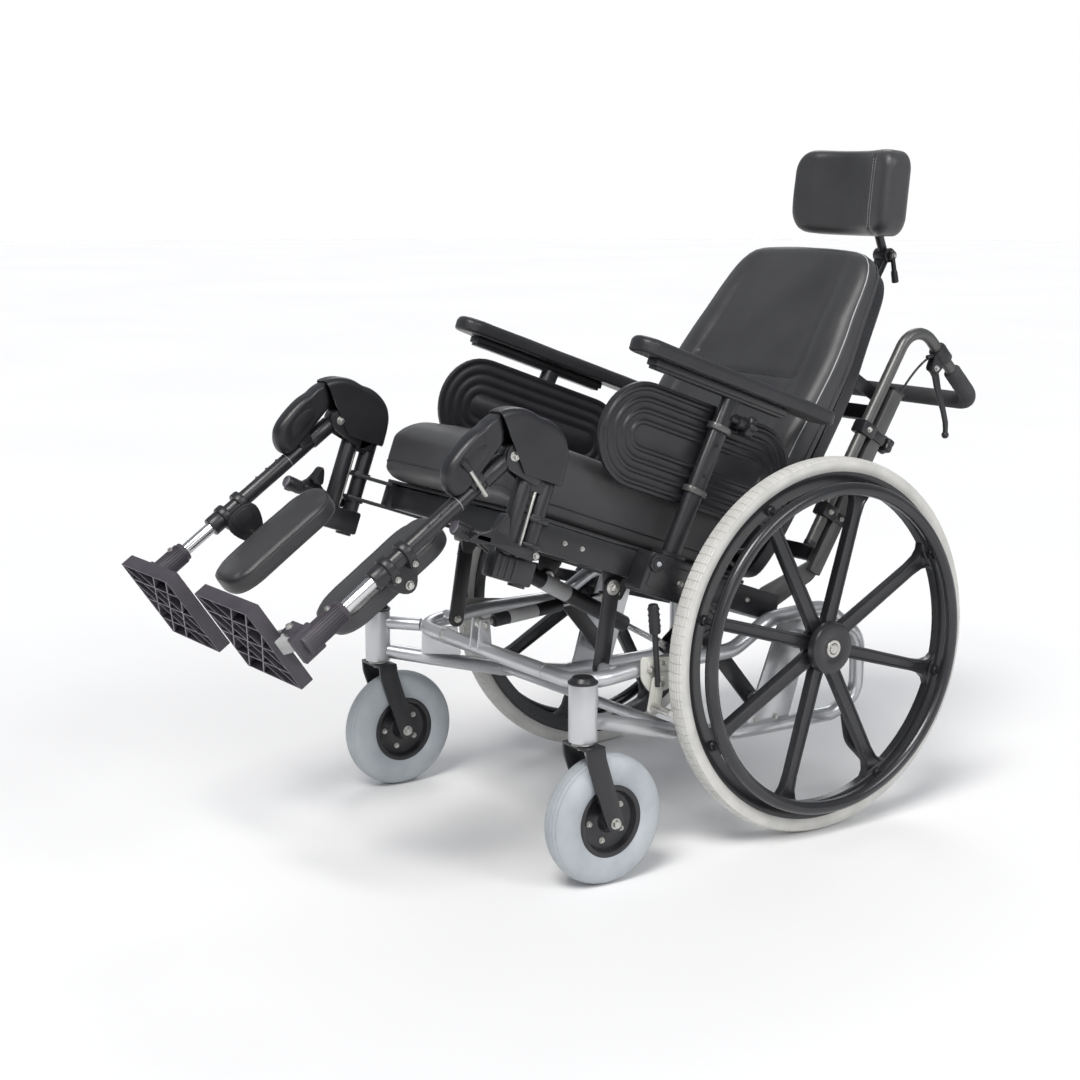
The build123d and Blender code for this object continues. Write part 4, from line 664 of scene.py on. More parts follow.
side = Piece()
tube(side, SIDE_ROUTE, SIDE_BENDS, 12.5, sides=28)
bar(side, (CASTER_X, CASTER_Y, 226), (CASTER_X, CASTER_Y, 314), 21.5, sides=56, ease=1.0)
bar(side, (SIDE_X, -421, 292), (288, -462, 292), 11)
plate(side, [(-108, 168), (-18, 166), (44, 350), (-34, 348)], 237.5, 242.5, ease=1.0)
across(side, SIDE_X, 275.5, 0, WHEEL_RADIUS, 16, ease=1.2)
for x, low in LOW_PIVOTS:
    across(side, x + 4, SIDE_X, *low, 10, ease=1.0)


def draw_gusset(piece):
    outline = [(-2, 241), (66, 241), (60, 290), (0, 290)]
    plate(piece, outline, -2, 2, corner=3)
    for z in (252, 279):
        screw(piece, (2, 16, z), LEFT, 3.6)


moved(side, Matrix.Translation((SIDE_X, -418, 0)) @ Matrix.Rotation(math.radians(-138), 4, "Z")
      @ Matrix.Scale(-1, 4, (0, 1, 0)) @ MIRROR, draw_gusset)
side.paint(satin)
bar(side, (CASTER_X, CASTER_Y, 313.6), (CASTER_X, CASTER_Y, 317), 22.6, sides=56, ease=1.0)
bar(side, (CASTER_X, CASTER_Y, 316.5), (CASTER_X, CASTER_Y, 323.5), 21.6, 15.5, sides=56, ease=2.0)
side.paint(moulded)
across(side, 242, 330, 0, WHEEL_RADIUS, 8)
for x, low in LOW_PIVOTS:
    across(side, x - 5, x + 5, *low, 6)
    screw(side, (x - 4.4, *low), RIGHT, 5.5)
for y, z in ((-86, 183), (-44, 181), (2, 336), (-20, 262)):
    screw(side, (242.5, y, z), LEFT, 4.5)
side.paint(zinc)
side.place_pair("side_frame", "base")

ties = Piece()
bar(ties, (-151, -430, 292), (151, -430, 292), 12.5, sides=28)
across(ties, -SIDE_X, SIDE_X, 132, 284, 11)
across(ties, -239, 239, -258, 196, 9)
for x in (-53, -31):
    plate(ties, [(-444, 292), (-416, 292), (-420, 342), (-438, 342)], x, x + 4, corner=2)
ties.paint(satin)
for x in (-146, 143):
    across(ties, x, x + 3, -430, 292, 13.2, ease=0.4)
across(ties, -57, -23, *TILT_EYE, 5)
screw(ties, (-26.6, *TILT_EYE), LEFT, 5)
screw(ties, (-53.4, *TILT_EYE), RIGHT, 5)
ties.paint(zinc)
ties.place("cross_tubes", "base")

tippers = Piece()
mirrored(tippers, tube, [(SIDE_X, 113, 166), (SIDE_X, 124, 112), (SIDE_X, 184, 54)], [40], 8)
mirrored(tippers, bar, (SIDE_X, 110, 182), (SIDE_X, 114, 160), 10.5)
tippers.paint(powder)
mirrored(tippers, bar, (SIDE_X, 174, 63.5), (SIDE_X, 196, 42), 12, 11, ease=3)
tippers.paint(moulded)
tippers.place("anti_tippers", "base")

# %% [markdown]
# The wheel lock is a pale stamped plate bolted to the frame tube, with a lever that
# presses a short bar against the tyre.

# %% Wheel locks
LOCK_PIN = (-303, 281)


def draw_lock_plate(piece):
    plate(piece, [(-333, 325), (-231, 311), (-231, 289), (-285, 265), (-315, 265), (-333, 289)], 256, 259.4,
          corner=7, ease=0.7)
    plate(piece, [(-322, 318), (-262, 309), (-262, 296), (-322, 300)], 259.2, 261.6, corner=4, ease=0.6)


def draw_lock_bolts(piece):
    across(piece, 258, 274, *LOCK_PIN, 5)
    for y in (-317, -251):
        across(piece, 246, 258, y, 303, 5)
        screw(piece, (261.4 if y < -300 else 259.3, y, 303), LEFT, 5)
    for y, z in ((-240, 300), (-292, 311)):
        screw(piece, (261.4 if y < -262 else 259.3, y, z), LEFT, 3.2, hexagon=False)


locks = Piece()
mirrored(locks, draw_lock_plate)
locks.paint(lock_white)
mirrored(locks, draw_lock_bolts)
locks.paint(zinc)
locks.place("wheel_lock_brackets", "base")

lever = Piece()
plate(lever, [(-314, 292), (-292, 292), (-300, 237), (-325, 237)], 262.2, 266, corner=5)
plate(lever, [(-310, 290), (-296, 290), (-303, 240), (-312, 240)], 265.8, 268.4, corner=3)
lever.paint(lock_white)
across(lever, 264, 312, -315, 245, 6, ease=2)
lever.paint(zinc)
bar(lever, (268.5, -308, 277), (268.5, -315, 365), 4.5)
lever.paint(powder)
bar(lever, (268.5, -314, 360), (268.5, -319, 408), 9, 8, ease=4)
for k in range(4):
    bar(lever, (268.5, -314.9 - k, 371 + 9 * k), (268.5, -315.2 - k, 374 + 9 * k), 9.4, ease=0.8)
lever.paint(moulded)
lever.place_pair("wheel_lock_lever", "lock")

# %% [markdown]
# Two pairs of flat links carry the seat. The gas springs are a painted cylinder with a
# bare label and a polished rod, each with an eye at its end.

# %% Links and gas springs
SEAT_IN_CHAIR = CHAIR.inverted() @ SEAT
BACK_IN_CHAIR = CHAIR.inverted() @ BACK


def spot(place, y, z):
    """Where a point of the seat or the back is on the chair, in y and z."""
    point = place @ Vector((0, y, z))
    return point.y, point.z


REAR_LUG, TILT_LUG, RECLINE_LUG = (184, -26), (205, -20), (-52, -26)
BACK_LUG = (0, -115)
FRONT_HIGH = spot(SEAT_IN_CHAIR, 4, -14)
REAR_HIGH = spot(SEAT_IN_CHAIR, *REAR_LUG)
LINK_HALF = 14

link_bars = Piece()
mirrored(link_bars, plate, oblong(FRONT_LOW, FRONT_HIGH, LINK_HALF), 203, 209, ease=1.0)
link_bars.paint(powder)
mirrored(link_bars, screw, (209, *FRONT_HIGH), LEFT, 7)
mirrored(link_bars, across, 208.6, 210.4, *FRONT_HIGH, 12, ease=0.4)
link_bars.paint(zinc)
link_bars.place("front_links", "front_link")

link_bars = Piece()
mirrored(link_bars, plate, oblong(REAR_LOW, REAR_HIGH, LINK_HALF), 197, 203, ease=1.0)
link_bars.paint(powder)
for end in (REAR_LOW, REAR_HIGH):
    mirrored(link_bars, across, 196.4, 197.4, *end, 11, ease=0.3)
link_bars.paint(zinc)
link_bars.place("rear_links", "rear_link")


def gas_spring(name, low, high, x, share, radius):
    """A spring from its low eye to its high one; the share of its length is cylinder."""
    start, end = Vector((x, *low)), Vector((x, *high))
    run = (end - start).normalized()
    mouth = start + (end - start) * share
    shell = Piece()
    across(shell, x - 6, x + 6, *low, 9)
    bar(shell, start + run * 6, start + run * 26, 6)
    shell.paint(zinc)
    bar(shell, start + run * 24, mouth - run * 2, radius, ease=2.0, sides=40)
    bar(shell, mouth - run * 4, mouth, radius * 0.72, ease=1.0)
    bar(shell, start + run * 20, start + run * 25.5, 8, sides=6)
    shell.paint(powder)
    bar(shell, start + run * 52, start + run * 108, radius + 0.15, ease=0.1, sides=40)
    shell.paint(label)
    shell.place(f"{name}_cylinder", f"{name}_cylinder", f"{name}_spring_cylinder")
    rod = Piece()
    bar(rod, mouth - run * 20, end - run * 24, 5)
    rod.paint(chrome)
    bar(rod, end - run * 27, end - run * 6, 6.4)
    bar(rod, end - run * 30, end - run * 24, 7.5, sides=6)
    across(rod, x - 6, x + 6, *high, 9)
    rod.paint(zinc)
    rod.place(f"{name}_rod", f"{name}_rod", f"{name}_spring_rod")


gas_spring("tilt", TILT_EYE, spot(SEAT_IN_CHAIR, *TILT_LUG), -40, 0.6, 11)
gas_spring("recline", spot(SEAT_IN_CHAIR, *RECLINE_LUG), spot(BACK_IN_CHAIR, *BACK_LUG), 35, 0.7, 13.5)
print("links and springs placed")

# %% [markdown]
# The seat is a welded tray: two box rails with plastic plugs in their ends, three cross
# members, lugs for the links and the leg rests, and a socket on each side for an arm rest.

# %% Seat frame
RAIL_INSIDE, RAIL_OUTSIDE, RAIL_MIDDLE = 200, 225, 28
CROSS_MEMBERS = (-150, 60, 215)
SOCKET_KNOB = (28, 39)


def draw_rail(piece):
    block(piece, (RAIL_INSIDE, -170, 6), (RAIL_OUTSIDE, 330, 50), 2.4)
    plate(piece, [(-18, 8), (26, 8), (13, -26), (-5, -26)], 197.4, 202.5, corner=5)
    plate(piece, [(158, 8), (210, 8), (194, -38), (174, -38)], 203.6, 209.5, corner=6)
    for z in (6, 44):
        slab(piece, [(204, -158), (204, -170), (235, -210), (245, -224), (265, -224), (274, -210),
                     (271, -192), (225, -158)], z, z + 6, corner=4)
    for low, high in ((3, 6.4), (49.6, 53)):
        bar(piece, (LEG_X, -206, low), (LEG_X, -206, high), 17)


def draw_socket(piece):
    plate(piece, [(10, -10), (110, -10), (116, 55), (16, 55)], RAIL_OUTSIDE, 262, corner=7, ease=2.5)
    plate(piece, [(20, 2), (102, 2), (106, 43), (24, 43)], 261.5, 263.2, corner=6, ease=0.7)
    plate(piece, [(40, 54), (86, 54), (87, 62), (41, 62)], 228, 257, corner=2, ease=1.5)


tray = Piece()
mirrored(tray, draw_rail)
for y in CROSS_MEMBERS:
    block(tray, (-200.5, y - 15, 10), (200.5, y + 15, 49), 3)
for x in (23, 42.5):
    plate(tray, [(-64, -35), (-40, -35), (-40, 18), (-150, 18), (-150, -2)], x, x + 4.5, corner=5)
for x in (-51, -33.5):
    plate(tray, [(193, -30), (219, -30), (229, 14), (201, 14)], x, x + 4.5, corner=5)
mirrored(tray, draw_socket)
tray.paint(powder)
mirrored(tray, block, (201.5, -172.4, 7.5), (223.5, -168, 48.5), 2)
mirrored(tray, block, (201.5, 328, 7.5), (223.5, 332.4, 48.5), 2)
mirrored(tray, across, 262, 268, *SOCKET_KNOB, 13, ease=1.6, sides=40)
mirrored(tray, across, 267, 269.6, *SOCKET_KNOB, 8.5, ease=0.8, sides=40)
tray.paint(moulded)
across(tray, 19, 51, *RECLINE_LUG, 5)
screw(tray, (47.3, *RECLINE_LUG), LEFT, 5.5)
screw(tray, (22.7, *RECLINE_LUG), RIGHT, 5.5)
screw(tray, (-28.8, *TILT_LUG), LEFT, 5)
mirrored(tray, across, 194, 206, *REAR_LUG, 6)
mirrored(tray, screw, (194.5, *REAR_LUG), RIGHT, 5.5)
for y in (-120, -86, 140, 176, 210, 262):
    mirrored(tray, screw, (RAIL_OUTSIDE, y, RAIL_MIDDLE), LEFT, 3.4, hexagon=False)
mirrored(tray, screw, (263.2, 84, 20), LEFT, 4.6, hexagon=False)
tray.paint(zinc)
mirrored(tray, screw, (269.6, *SOCKET_KNOB), LEFT, 3.4, hexagon=False)
tray.paint(caster_grey)
tray.place("seat_frame", "seat", at=SEAT)

board = Piece()
block(board, (-225, -170, 50.2), (225, 245, 56), 1.4)
board.paint(powder)
board.place("seat_pan", "seat", at=SEAT)

# %% [markdown]
# Each arm rest is an oblong post with two pale ring clamps that hold the side panel, a
# star knob, and a channel under the pad. The post leans forward a little, so it is drawn
# upright and then turned.

# %% Arm posts
POST_X, POST_Y, POST_LEAN = 242, 60, 6.5
POST_IN_SEAT = Matrix.Translation((POST_X, POST_Y, 0)) @ turned_x(-POST_LEAN)
RING_HEIGHTS = (164, 269)
KNOB_HEIGHT = 288
STAR_SIDES = 60


def oval(half_x, half_y, steps=36, power=2.6):
    """An oblong with round ends, as points in x and y."""
    points = []
    for step in range(steps):
        angle = 2 * math.pi * step / steps
        points.append([half * math.copysign(abs(way) ** (2 / power), way)
                       for half, way in ((half_x, math.cos(angle)), (half_y, math.sin(angle)))])
    return points


def on_post(z):
    """Where the middle of the leaning post is at this height."""
    return POST_Y + z * math.tan(math.radians(POST_LEAN))


def star(piece, at, way, radius, thick, points=6):
    """A hand knob with a lobe at each of its points."""
    lobes = []
    for k in range(STAR_SIDES):
        angle = 2 * math.pi * k / STAR_SIDES
        reach = radius + radius * 0.1 * math.cos(points * angle)
        lobes.append((reach * math.cos(angle), reach * math.sin(angle)))

    def draw(piece):
        fresh = drawn(piece, slab, lobes, 0, thick, ease=0)
        eased(piece.bm, crisp(edges_of(fresh), 60), thick * 0.22, 3)

    moved(piece, Matrix.Translation(at) @ along(way), draw)


post = Piece()
moved(post, POST_IN_SEAT, slab, oval(10, 16), -8, 322, ease=0.8)
block(post, (232, -74, 320.5), (256, 205, 332), 2.0)
block(post, (234.5, -70, 316), (253.5, 201, 322), 1.2)
post.paint(powder)
for z in RING_HEIGHTS:
    moved(post, POST_IN_SEAT, slab, oval(14.6, 20.6), z - 5, z + 5, ease=1.6)
post.paint(back_rail)
for z in RING_HEIGHTS:
    moved(post, POST_IN_SEAT, block, (-10.5, -13, z - 4.6), (-2, 13, z + 4.6), 1.2)
post.paint(moulded)
knob_y = on_post(KNOB_HEIGHT)
bar(post, (250, knob_y + 8, KNOB_HEIGHT), (250, knob_y + 38, 285.2), 5)
bar(post, (250, knob_y + 22, 286.4), (250, knob_y + 38, 285), 9, sides=24, ease=1)
for z in (190, 240):
    screw(post, (251.8, on_post(z), z), LEFT, 3, hexagon=False)
star(post, (250, knob_y + 38, 285), (0, 1, -0.1), 16.3, 15)
post.paint(moulded)
post.place_pair("arm_post", "arm", at=SEAT)

# %% [markdown]
# The side panels are thin mouldings shaped like a racetrack. Rounded ribs follow the
# outline inwards, ring inside ring, and stiffen the sheet.

# %% Side panels
PANEL_LENGTH, PANEL_HEIGHT = 395.0, 162.0
PANEL_MIDDLE = (224, 77.5, 219)
RINGS, RISE, SINK = 4, 3.4, -1.5


def racetrack(length, height, steps=20):
    """An outline with straight long sides and round ends."""
    radius, half = height / 2, (length - height) / 2
    points = []
    for side_y, first in ((1, -90), (-1, 90)):
        for step in range(steps + 1):
            angle = math.radians(first + 180 * step / steps)
            points.append((side_y * half + radius * math.cos(angle), radius * math.sin(angle)))
    return points


def draw_panel(piece):
    before = set(piece.bm.faces)
    plate(piece, racetrack(PANEL_LENGTH, PANEL_HEIGHT), -3.6, 3.6, ease=0)
    broad = [f for f in piece.bm.faces if f not in before and len(f.verts) > 30]
    for face in broad:
        rise = RISE if face.normal.x > 0 else SINK
        for k in range(RINGS):
            for width, height in ((8 if k else 5, 0), (2.6, rise), (3.8, 0), (2.6, -rise)):
                inset(piece.bm, [face], width, height)
    fresh = [f for f in piece.bm.faces if f not in before]
    eased(piece.bm, crisp(borders(fresh), 34), 0.9)


panel = Piece()
moved(panel, Matrix.Translation(PANEL_MIDDLE), draw_panel)
panel.paint(moulded)
panel.place_pair("side_panel", "arm", at=SEAT)
print("arm posts and panels placed")

# %% [markdown]
# The back is carried by two flat rails with pivot plates at their feet. Clamps on the
# rails hold the round canes of the push bar, so the bar can be raised. Cross bars behind
# the shell hold the receiver of the head rest.

# %% Back frame
CLAMP_HEIGHTS = (190, 344)


def draw_back_side(piece):
    block(piece, (191, 57, 90), (209, 83, 430), 2.2)
    plate(piece, [(-16, -16), (14, -18), (83, 84), (83, 150), (57, 104), (-16, 18)], 193.6, 199.4,
          corner=9, ease=1.0)


def draw_back_black(piece):
    across(piece, 191.5, 202.4, 0, 0, 8)
    for z in CLAMP_HEIGHTS:
        block(piece, (186, 25.5, z - 12), (214, 58, z + 12), 3.5)
        block(piece, (188, 56, z - 9), (212, 85.5, z + 9), 2.5)
    for z in (230, 400):
        block(piece, (176, -12, z), (182, 70, z + 22), 1.2)
        block(piece, (176, 62, z), (192, 70, z + 22), 1.2)
    block(piece, (190, 56, 428), (210, 84, 433), 1.5)
    bar(piece, (200, 84, 344), (200, 93, 344), 9, 7)
    star(piece, (200, 92, 344), REAR, 14.5, 15, points=5)


def draw_back_zinc(piece):
    screw(piece, (193.6, 0, 0), RIGHT, 7)
    for z in (118, 152, 412):
        screw(piece, (200, 83, z), REAR, 4.2, hexagon=False)
    for z in CLAMP_HEIGHTS:
        screw(piece, (214, 40, z), LEFT, 4.2)
    screw(piece, (214, 68, CLAMP_HEIGHTS[0]), LEFT, 3.4, hexagon=False)


rails = Piece()
mirrored(rails, draw_back_side)
rails.paint(back_rail)
mirrored(rails, draw_back_black)
for z in (122, 385):
    block(rails, (-192, 64, z - 13), (192, 76, z + 13), 1.8)
for x in (24, 41.5):
    plate(rails, [(62, 132), (78, 132), (78, 60), (12, -127), (-12, -127), (-12, -105), (54, 60)], x, x + 4.5,
          corner=5)
for low, high in (((-22, 75, 360), (22, 85.5, 420)), ((-22, 98.5, 360), (22, 106, 420)),
                  ((-22, 84, 360), (-13, 100, 420)), ((13, 84, 360), (22, 100, 420))):
    block(rails, low, high, 1.5)
rails.paint(powder)
mirrored(rails, draw_back_zinc)
across(rails, 20, 49.5, *BACK_LUG, 5)
screw(rails, (46, *BACK_LUG), LEFT, 5.5)
screw(rails, (24, *BACK_LUG), RIGHT, 5.5)
bar(rails, (0, 105, 392), (0, 116, 392), 4)
rails.paint(zinc)
star(rails, (0, 114, 392), REAR, 12, 12, points=5)
rails.paint(moulded)
rails.place("back_frame", "back", at=BACK)

# %% [markdown]
# The push bar is one round tube: two canes, side arms and a grip across. Each side arm
# has a brake clamp with a curved lever that ends in a ball, and a thin cable that bends
# in behind the cross bars.

# %% Push bar
CANE_X = 200
BAR_ROUTE = [(CANE_X, 40, 130), (CANE_X, 40, 556), (CANE_X, 245, 505)]
BAR_ROUTE += [(-x, y, z) for x, y, z in BAR_ROUTE[::-1]]
ARM_START, ARM_RUN = Vector(BAR_ROUTE[1]), Vector((0, 205, -51))


def on_arm(share, drop=0.0):
    """A point along the bar's side arm, and so far below it."""
    return ARM_START + ARM_RUN * share - Vector((0, 0, drop))


LEVER_PIVOT = on_arm(0.42, 28)


def draw_brake_clamp(piece):
    bar(piece, on_arm(0.36), on_arm(0.5), 15, sides=40, ease=2)
    cheek = [(LEVER_PIVOT.y + y, LEVER_PIVOT.z + z) for y, z in ((-14, 20), (16, 14), (9, -8), (-9, -8))]
    for x in (192.5, 203.5):
        plate(piece, cheek, x, x + 4, corner=5, ease=1.0)
    bar(piece, on_arm(0.37, 13), on_arm(0.37, 13) + Vector((0, -14, -10)), 4.4, 3.2)


push = Piece()
tube(push, BAR_ROUTE, [45, 30, 30, 45], 10, sides=28)
push.paint(back_rail)
mirrored(push, draw_brake_clamp)
mirrored(push, block, (174, 36, 254), (192, 44, 262), 1.5)
mirrored(push, bar, (200, 40, 124), (200, 40, 134), 10.8, ease=2)
push.paint(moulded)
mirrored(push, across, 191.5, 208.5, *LEVER_PIVOT.yz, 4)
mirrored(push, screw, (207.5, *LEVER_PIVOT.yz), LEFT, 4.5)
mirrored(push, screw, on_arm(0.43, -14.6), (0, 0.2, 1), 3.6, hexagon=False)
push.paint(zinc)
push.place("push_bar", "push_handle", at=BACK)

grip = Piece()
first = on_arm(0.62)
tube(grip, [first, *BAR_ROUTE[2:4], (-CANE_X, first.y, first.z)], [30, 30], 15, sides=40)
eased(grip.bm, crisp(grip.bm.edges, 60), 3, 3)
grip.paint(foam)
grip.place("push_grip", "push_handle", at=BACK)

squeeze = Piece()
curve = [(-8, 6), (8, 5), (22, -8), (36, -22), (64, -43), (84, -60), (93, -74), (95, -80), (88, -83),
         (84, -76), (76, -66), (58, -51), (24, -28), (8, -14), (-6, -8)]
plate(squeeze, [(LEVER_PIVOT.y + y, LEVER_PIVOT.z + z) for y, z in curve], 197.2, 202.8, corner=2, ease=1.8)
squeeze.paint(powder)
bmesh.ops.create_uvsphere(squeeze.bm, u_segments=24, v_segments=16, radius=6.4,
                          matrix=Matrix.Translation((CANE_X, LEVER_PIVOT.y + 92, LEVER_PIVOT.z - 81)))
squeeze.paint(moulded)
squeeze.place_pair("brake_lever", "brake_lever", at=BACK)
print("push bar placed")

# %% [markdown]
# Every cushion is sewn from a flat top, a flat underside and a border between them, and
# foam pushes all three out. Here one outline is drawn as loops that move in from the
# edge, first over the rounded border and then across the top. A form then says how high
# the foam stands at each point, and seams pull it down. Welts are thin piped edges.

# %% Soft shapes
def evened(points, step):
    """The same closed outline with its points at even steps."""
    loop = [Vector(p) for p in points] + [Vector(points[0])]
    lengths = [(b - a).length for a, b in zip(loop, loop[1:])]
    count = round(sum(lengths) / step)
    spacing, out, done, k = sum(lengths) / count, [], 0.0, 0
    for index in range(count):
        target = index * spacing
        while done + lengths[k] < target:
            done += lengths[k]
            k += 1
        out.append(tuple(loop[k].lerp(loop[k + 1], (target - done) / lengths[k])))
    return out


def rounded_box(hx, hy, corners, step=7.0):
    """An oblong outline round the origin; corners start at +x +y and go round."""
    points = []
    for (sx, sy), radius, first in zip(((1, 1), (-1, 1), (-1, -1), (1, -1)), corners, (0, 90, 180, 270)):
        for k in range(9):
            angle = math.radians(first + 90 * k / 8)
            points.append((sx * (hx - radius) + radius * math.cos(angle),
                           sy * (hy - radius) + radius * math.sin(angle)))
    return evened(points, step)


def pad_levels(reach, thick, low_round, high_round, step=7.0):
    """(inset, share of the thickness) from the middle of the underside to the middle of the top."""
    quarter = [math.radians(a) for a in range(0, 91, 15)]
    start = reach * 0.985

    def flat(border):
        """Insets from the middle of a face out to its rounded border."""
        return [start - step * k for k in range(math.ceil(start / step)) if start - step * k > border + 1]

    levels = [(width, 0.0) for width in flat(low_round)]
    levels += [(low_round * (1 - math.sin(a)), low_round * (1 - math.cos(a)) / thick) for a in quarter]
    upright = thick - low_round - high_round
    rows = max(1, round(upright / (step * 1.3)))
    levels += [(0, (low_round + upright * k / rows) / thick) for k in range(1, rows)]
    levels += [(high_round * (1 - math.cos(a)), 1 - high_round * (1 - math.sin(a)) / thick) for a in quarter]
    return levels + [(width, 1.0) for width in flat(high_round)[::-1]]


def half_sizes(outline):
    return [max(abs(point[k]) for point in outline) for k in (0, 1)]


def cushion(piece, outline, levels, form):
    """Loops of the outline, drawn in by each level's inset; form places every point."""
    bm = piece.bm
    hx, hy = half_sizes(outline)
    known = set(bm.verts)
    scale = [(1 - width / hx, 1 - width / hy, share) for width, share in levels]
    sx, sy, share = scale[0]
    verts = [bm.verts.new((x * sx, y * sy, share)) for x, y in outline]
    loop = [bm.edges.new(pair) for pair in zip(verts, verts[1:] + verts[:1])]
    first = list(loop)
    for (ax, ay, _), (bx, by, share) in zip(scale, scale[1:]):
        made = bmesh.ops.extrude_edge_only(bm, edges=loop)["geom"]
        ring = set(only(made, bmesh.types.BMVert))
        for vert in ring:
            vert.co = Vector((vert.co.x * bx / ax, vert.co.y * by / ay, share))
        loop = [edge for edge in only(made, bmesh.types.BMEdge) if set(edge.verts) <= ring]
    middles = [bmesh.ops.edgeloop_fill(bm, edges=edges)["faces"][0] for edges in (first, loop)]
    bmesh.ops.triangulate(bm, faces=middles)
    fresh = [vert for vert in bm.verts if vert not in known]
    for vert in fresh:
        vert.co = form(vert.co.x, vert.co.y, vert.co.z)
    tidy_island(bm, fresh[:1])


def dent(distance, width, depth):
    """How far a seam pulls the surface in, at a distance from its line."""
    return depth * math.exp(-(distance / width) ** 2)


def ripple(x, y, size, height, seed=0.0):
    """The slight unevenness of a stretched cover."""
    return noise.noise(Vector((x / size, y / size, seed))) * height


def welt(piece, points, radius=1.3, closed=False):
    """A thin piped edge through the points."""
    points = points + points[:1] if closed else points
    rings = []
    for index, point in enumerate(points[:-1] if closed else points):
        before = points[index - 1] if index else (points[-2] if closed else points[0])
        after = points[index + 1] if index + 1 < len(points) else points[-1]
        way = (Vector(after) - Vector(before)).normalized()
        place = Matrix.Translation(point) @ along(way)
        verts = bmesh.ops.create_circle(piece.bm, cap_ends=False, radius=radius, segments=8,
                                        matrix=place)["verts"]
        rings.append(edges_of(verts))
    pairs = list(zip(rings, rings[1:])) + ([(rings[-1], rings[0])] if closed else [])
    for near, far in pairs:
        bmesh.ops.bridge_loops(piece.bm, edges=near + far)
    if not closed:
        for ring in (rings[0], rings[-1]):
            bmesh.ops.edgeloop_fill(piece.bm, edges=ring)
    tidy_island(piece.bm, {vert for edge in rings[0] for vert in edge.verts})


# %% [markdown]
# The knees are covered by two smooth mouldings that slide into one another as a leg is
# raised. Each is an outline whose whole rim is drawn in, so that both faces are domed.
# The cap is cut open below and in front, and given a wall, so that it takes the cover in.

# %% Knee mouldings
def softened(points, rounds=3):
    """Cuts the corners of a closed outline again and again until they are round."""
    for _ in range(rounds):
        cut = []
        for a, b in zip(points, points[1:] + points[:1]):
            cut.append((a[0] * 0.75 + b[0] * 0.25, a[1] * 0.75 + b[1] * 0.25))
            cut.append((a[0] * 0.25 + b[0] * 0.75, a[1] * 0.25 + b[1] * 0.75))
        points = cut
    return points


def knee_arc(radius, first, last, steps=6):
    """Points round the knee's pin, from one angle to another."""
    points = []
    for step in range(steps + 1):
        angle = math.radians(first + (last - first) * step / steps)
        points.append((KNEE[0] + radius * math.cos(angle), KNEE[1] + radius * math.sin(angle)))
    return points


def domed(piece, outline, centre, half, width, depth):
    """A moulding whose whole rim is drawn in by a width, over a depth in millimetres."""
    points = evened([(y - centre[0], z - centre[1]) for y, z in softened(outline, 2)], 4)
    thick = 2 * half * width / depth
    levels = pad_levels(min(half_sizes(points)), thick, width, width, 4)

    def form(y, z, share):
        return Vector((LEG_X + half * (2 * share - 1), centre[0] + y, centre[1] + z))

    cushion(piece, points, levels, form)


def cut_open(bm, corner, way):
    """Takes away all that lies beyond a plane, and leaves the cut open."""
    everything = list(bm.verts) + list(bm.edges) + list(bm.faces)
    bmesh.ops.bisect_plane(bm, geom=everything, dist=0.001, plane_co=corner, plane_no=way, clear_outer=True)


cap = Piece()
domed(cap, knee_arc(69.5, 152, 70, 9) + [(-238, 190), (-214, 181), (-197, 166), (-188, 142), (-187, 84),
                                         (-250, 84), (-296, 112), (-330, 136)], (-250, 140), 19.5, 11, 10)
cut_open(cap.bm, (LEG_X, -250, 104), (0, 0, -1))
cut_open(cap.bm, (LEG_X, -257, 102), (0, -76, -71))
bmesh.ops.solidify(cap.bm, geom=list(cap.bm.faces), thickness=2.0)
bmesh.ops.recalc_face_normals(cap.bm, faces=cap.bm.faces)
cap.paint(moulded)
cap.place_pair("knee_cap", "hanger", at=SEAT)

cover = Piece()
cover_low = [(-300, 142), (-308, 126), (-324, 90), (-346, 46)]
domed(cover, knee_arc(66, 154, 126) + cover_low + [(-360, 43), (-375, 54), (-383, 73), (-380, 94),
                                                   (-360, 134)], (-342, 110), 16.4, 14, 13)
oval_plate = softened([(-350, 72), (-362, 84), (-360, 104), (-342, 128), (-330, 126), (-330, 106)])
for x in (LEG_X + 15.8, LEG_X - 16.6):
    plate(cover, oval_plate, x, x + 0.8, ease=0.7)
cover.paint(moulded)
bar(cover, (273.5, -312, 58), (273.5, -352, 86), 3.2)
bar(cover, (266, -330, 71), (274, -330, 71), 4)
cover.paint(zinc)
bar(cover, (273.5, -350, 84.6), (274, -367, 94.5), 4.6, 6, ease=2)
cover.paint(moulded)
cover.place_pair("knee_cover", "leg", at=SEAT)

# %% [markdown]
# A leg rest hangs on the seat by its rear upright and swings out when the latch lever is
# pressed. The leg tube turns about the knee's pin. Its chromed extension slides for
# length and ends in a ribbed clamp with the footplate's hinge.

# %% Leg rests
LATCH_PIN, CALF_PIN = (-206, -3), (-228, -52)
LEG_RINGS = (-213, -247)

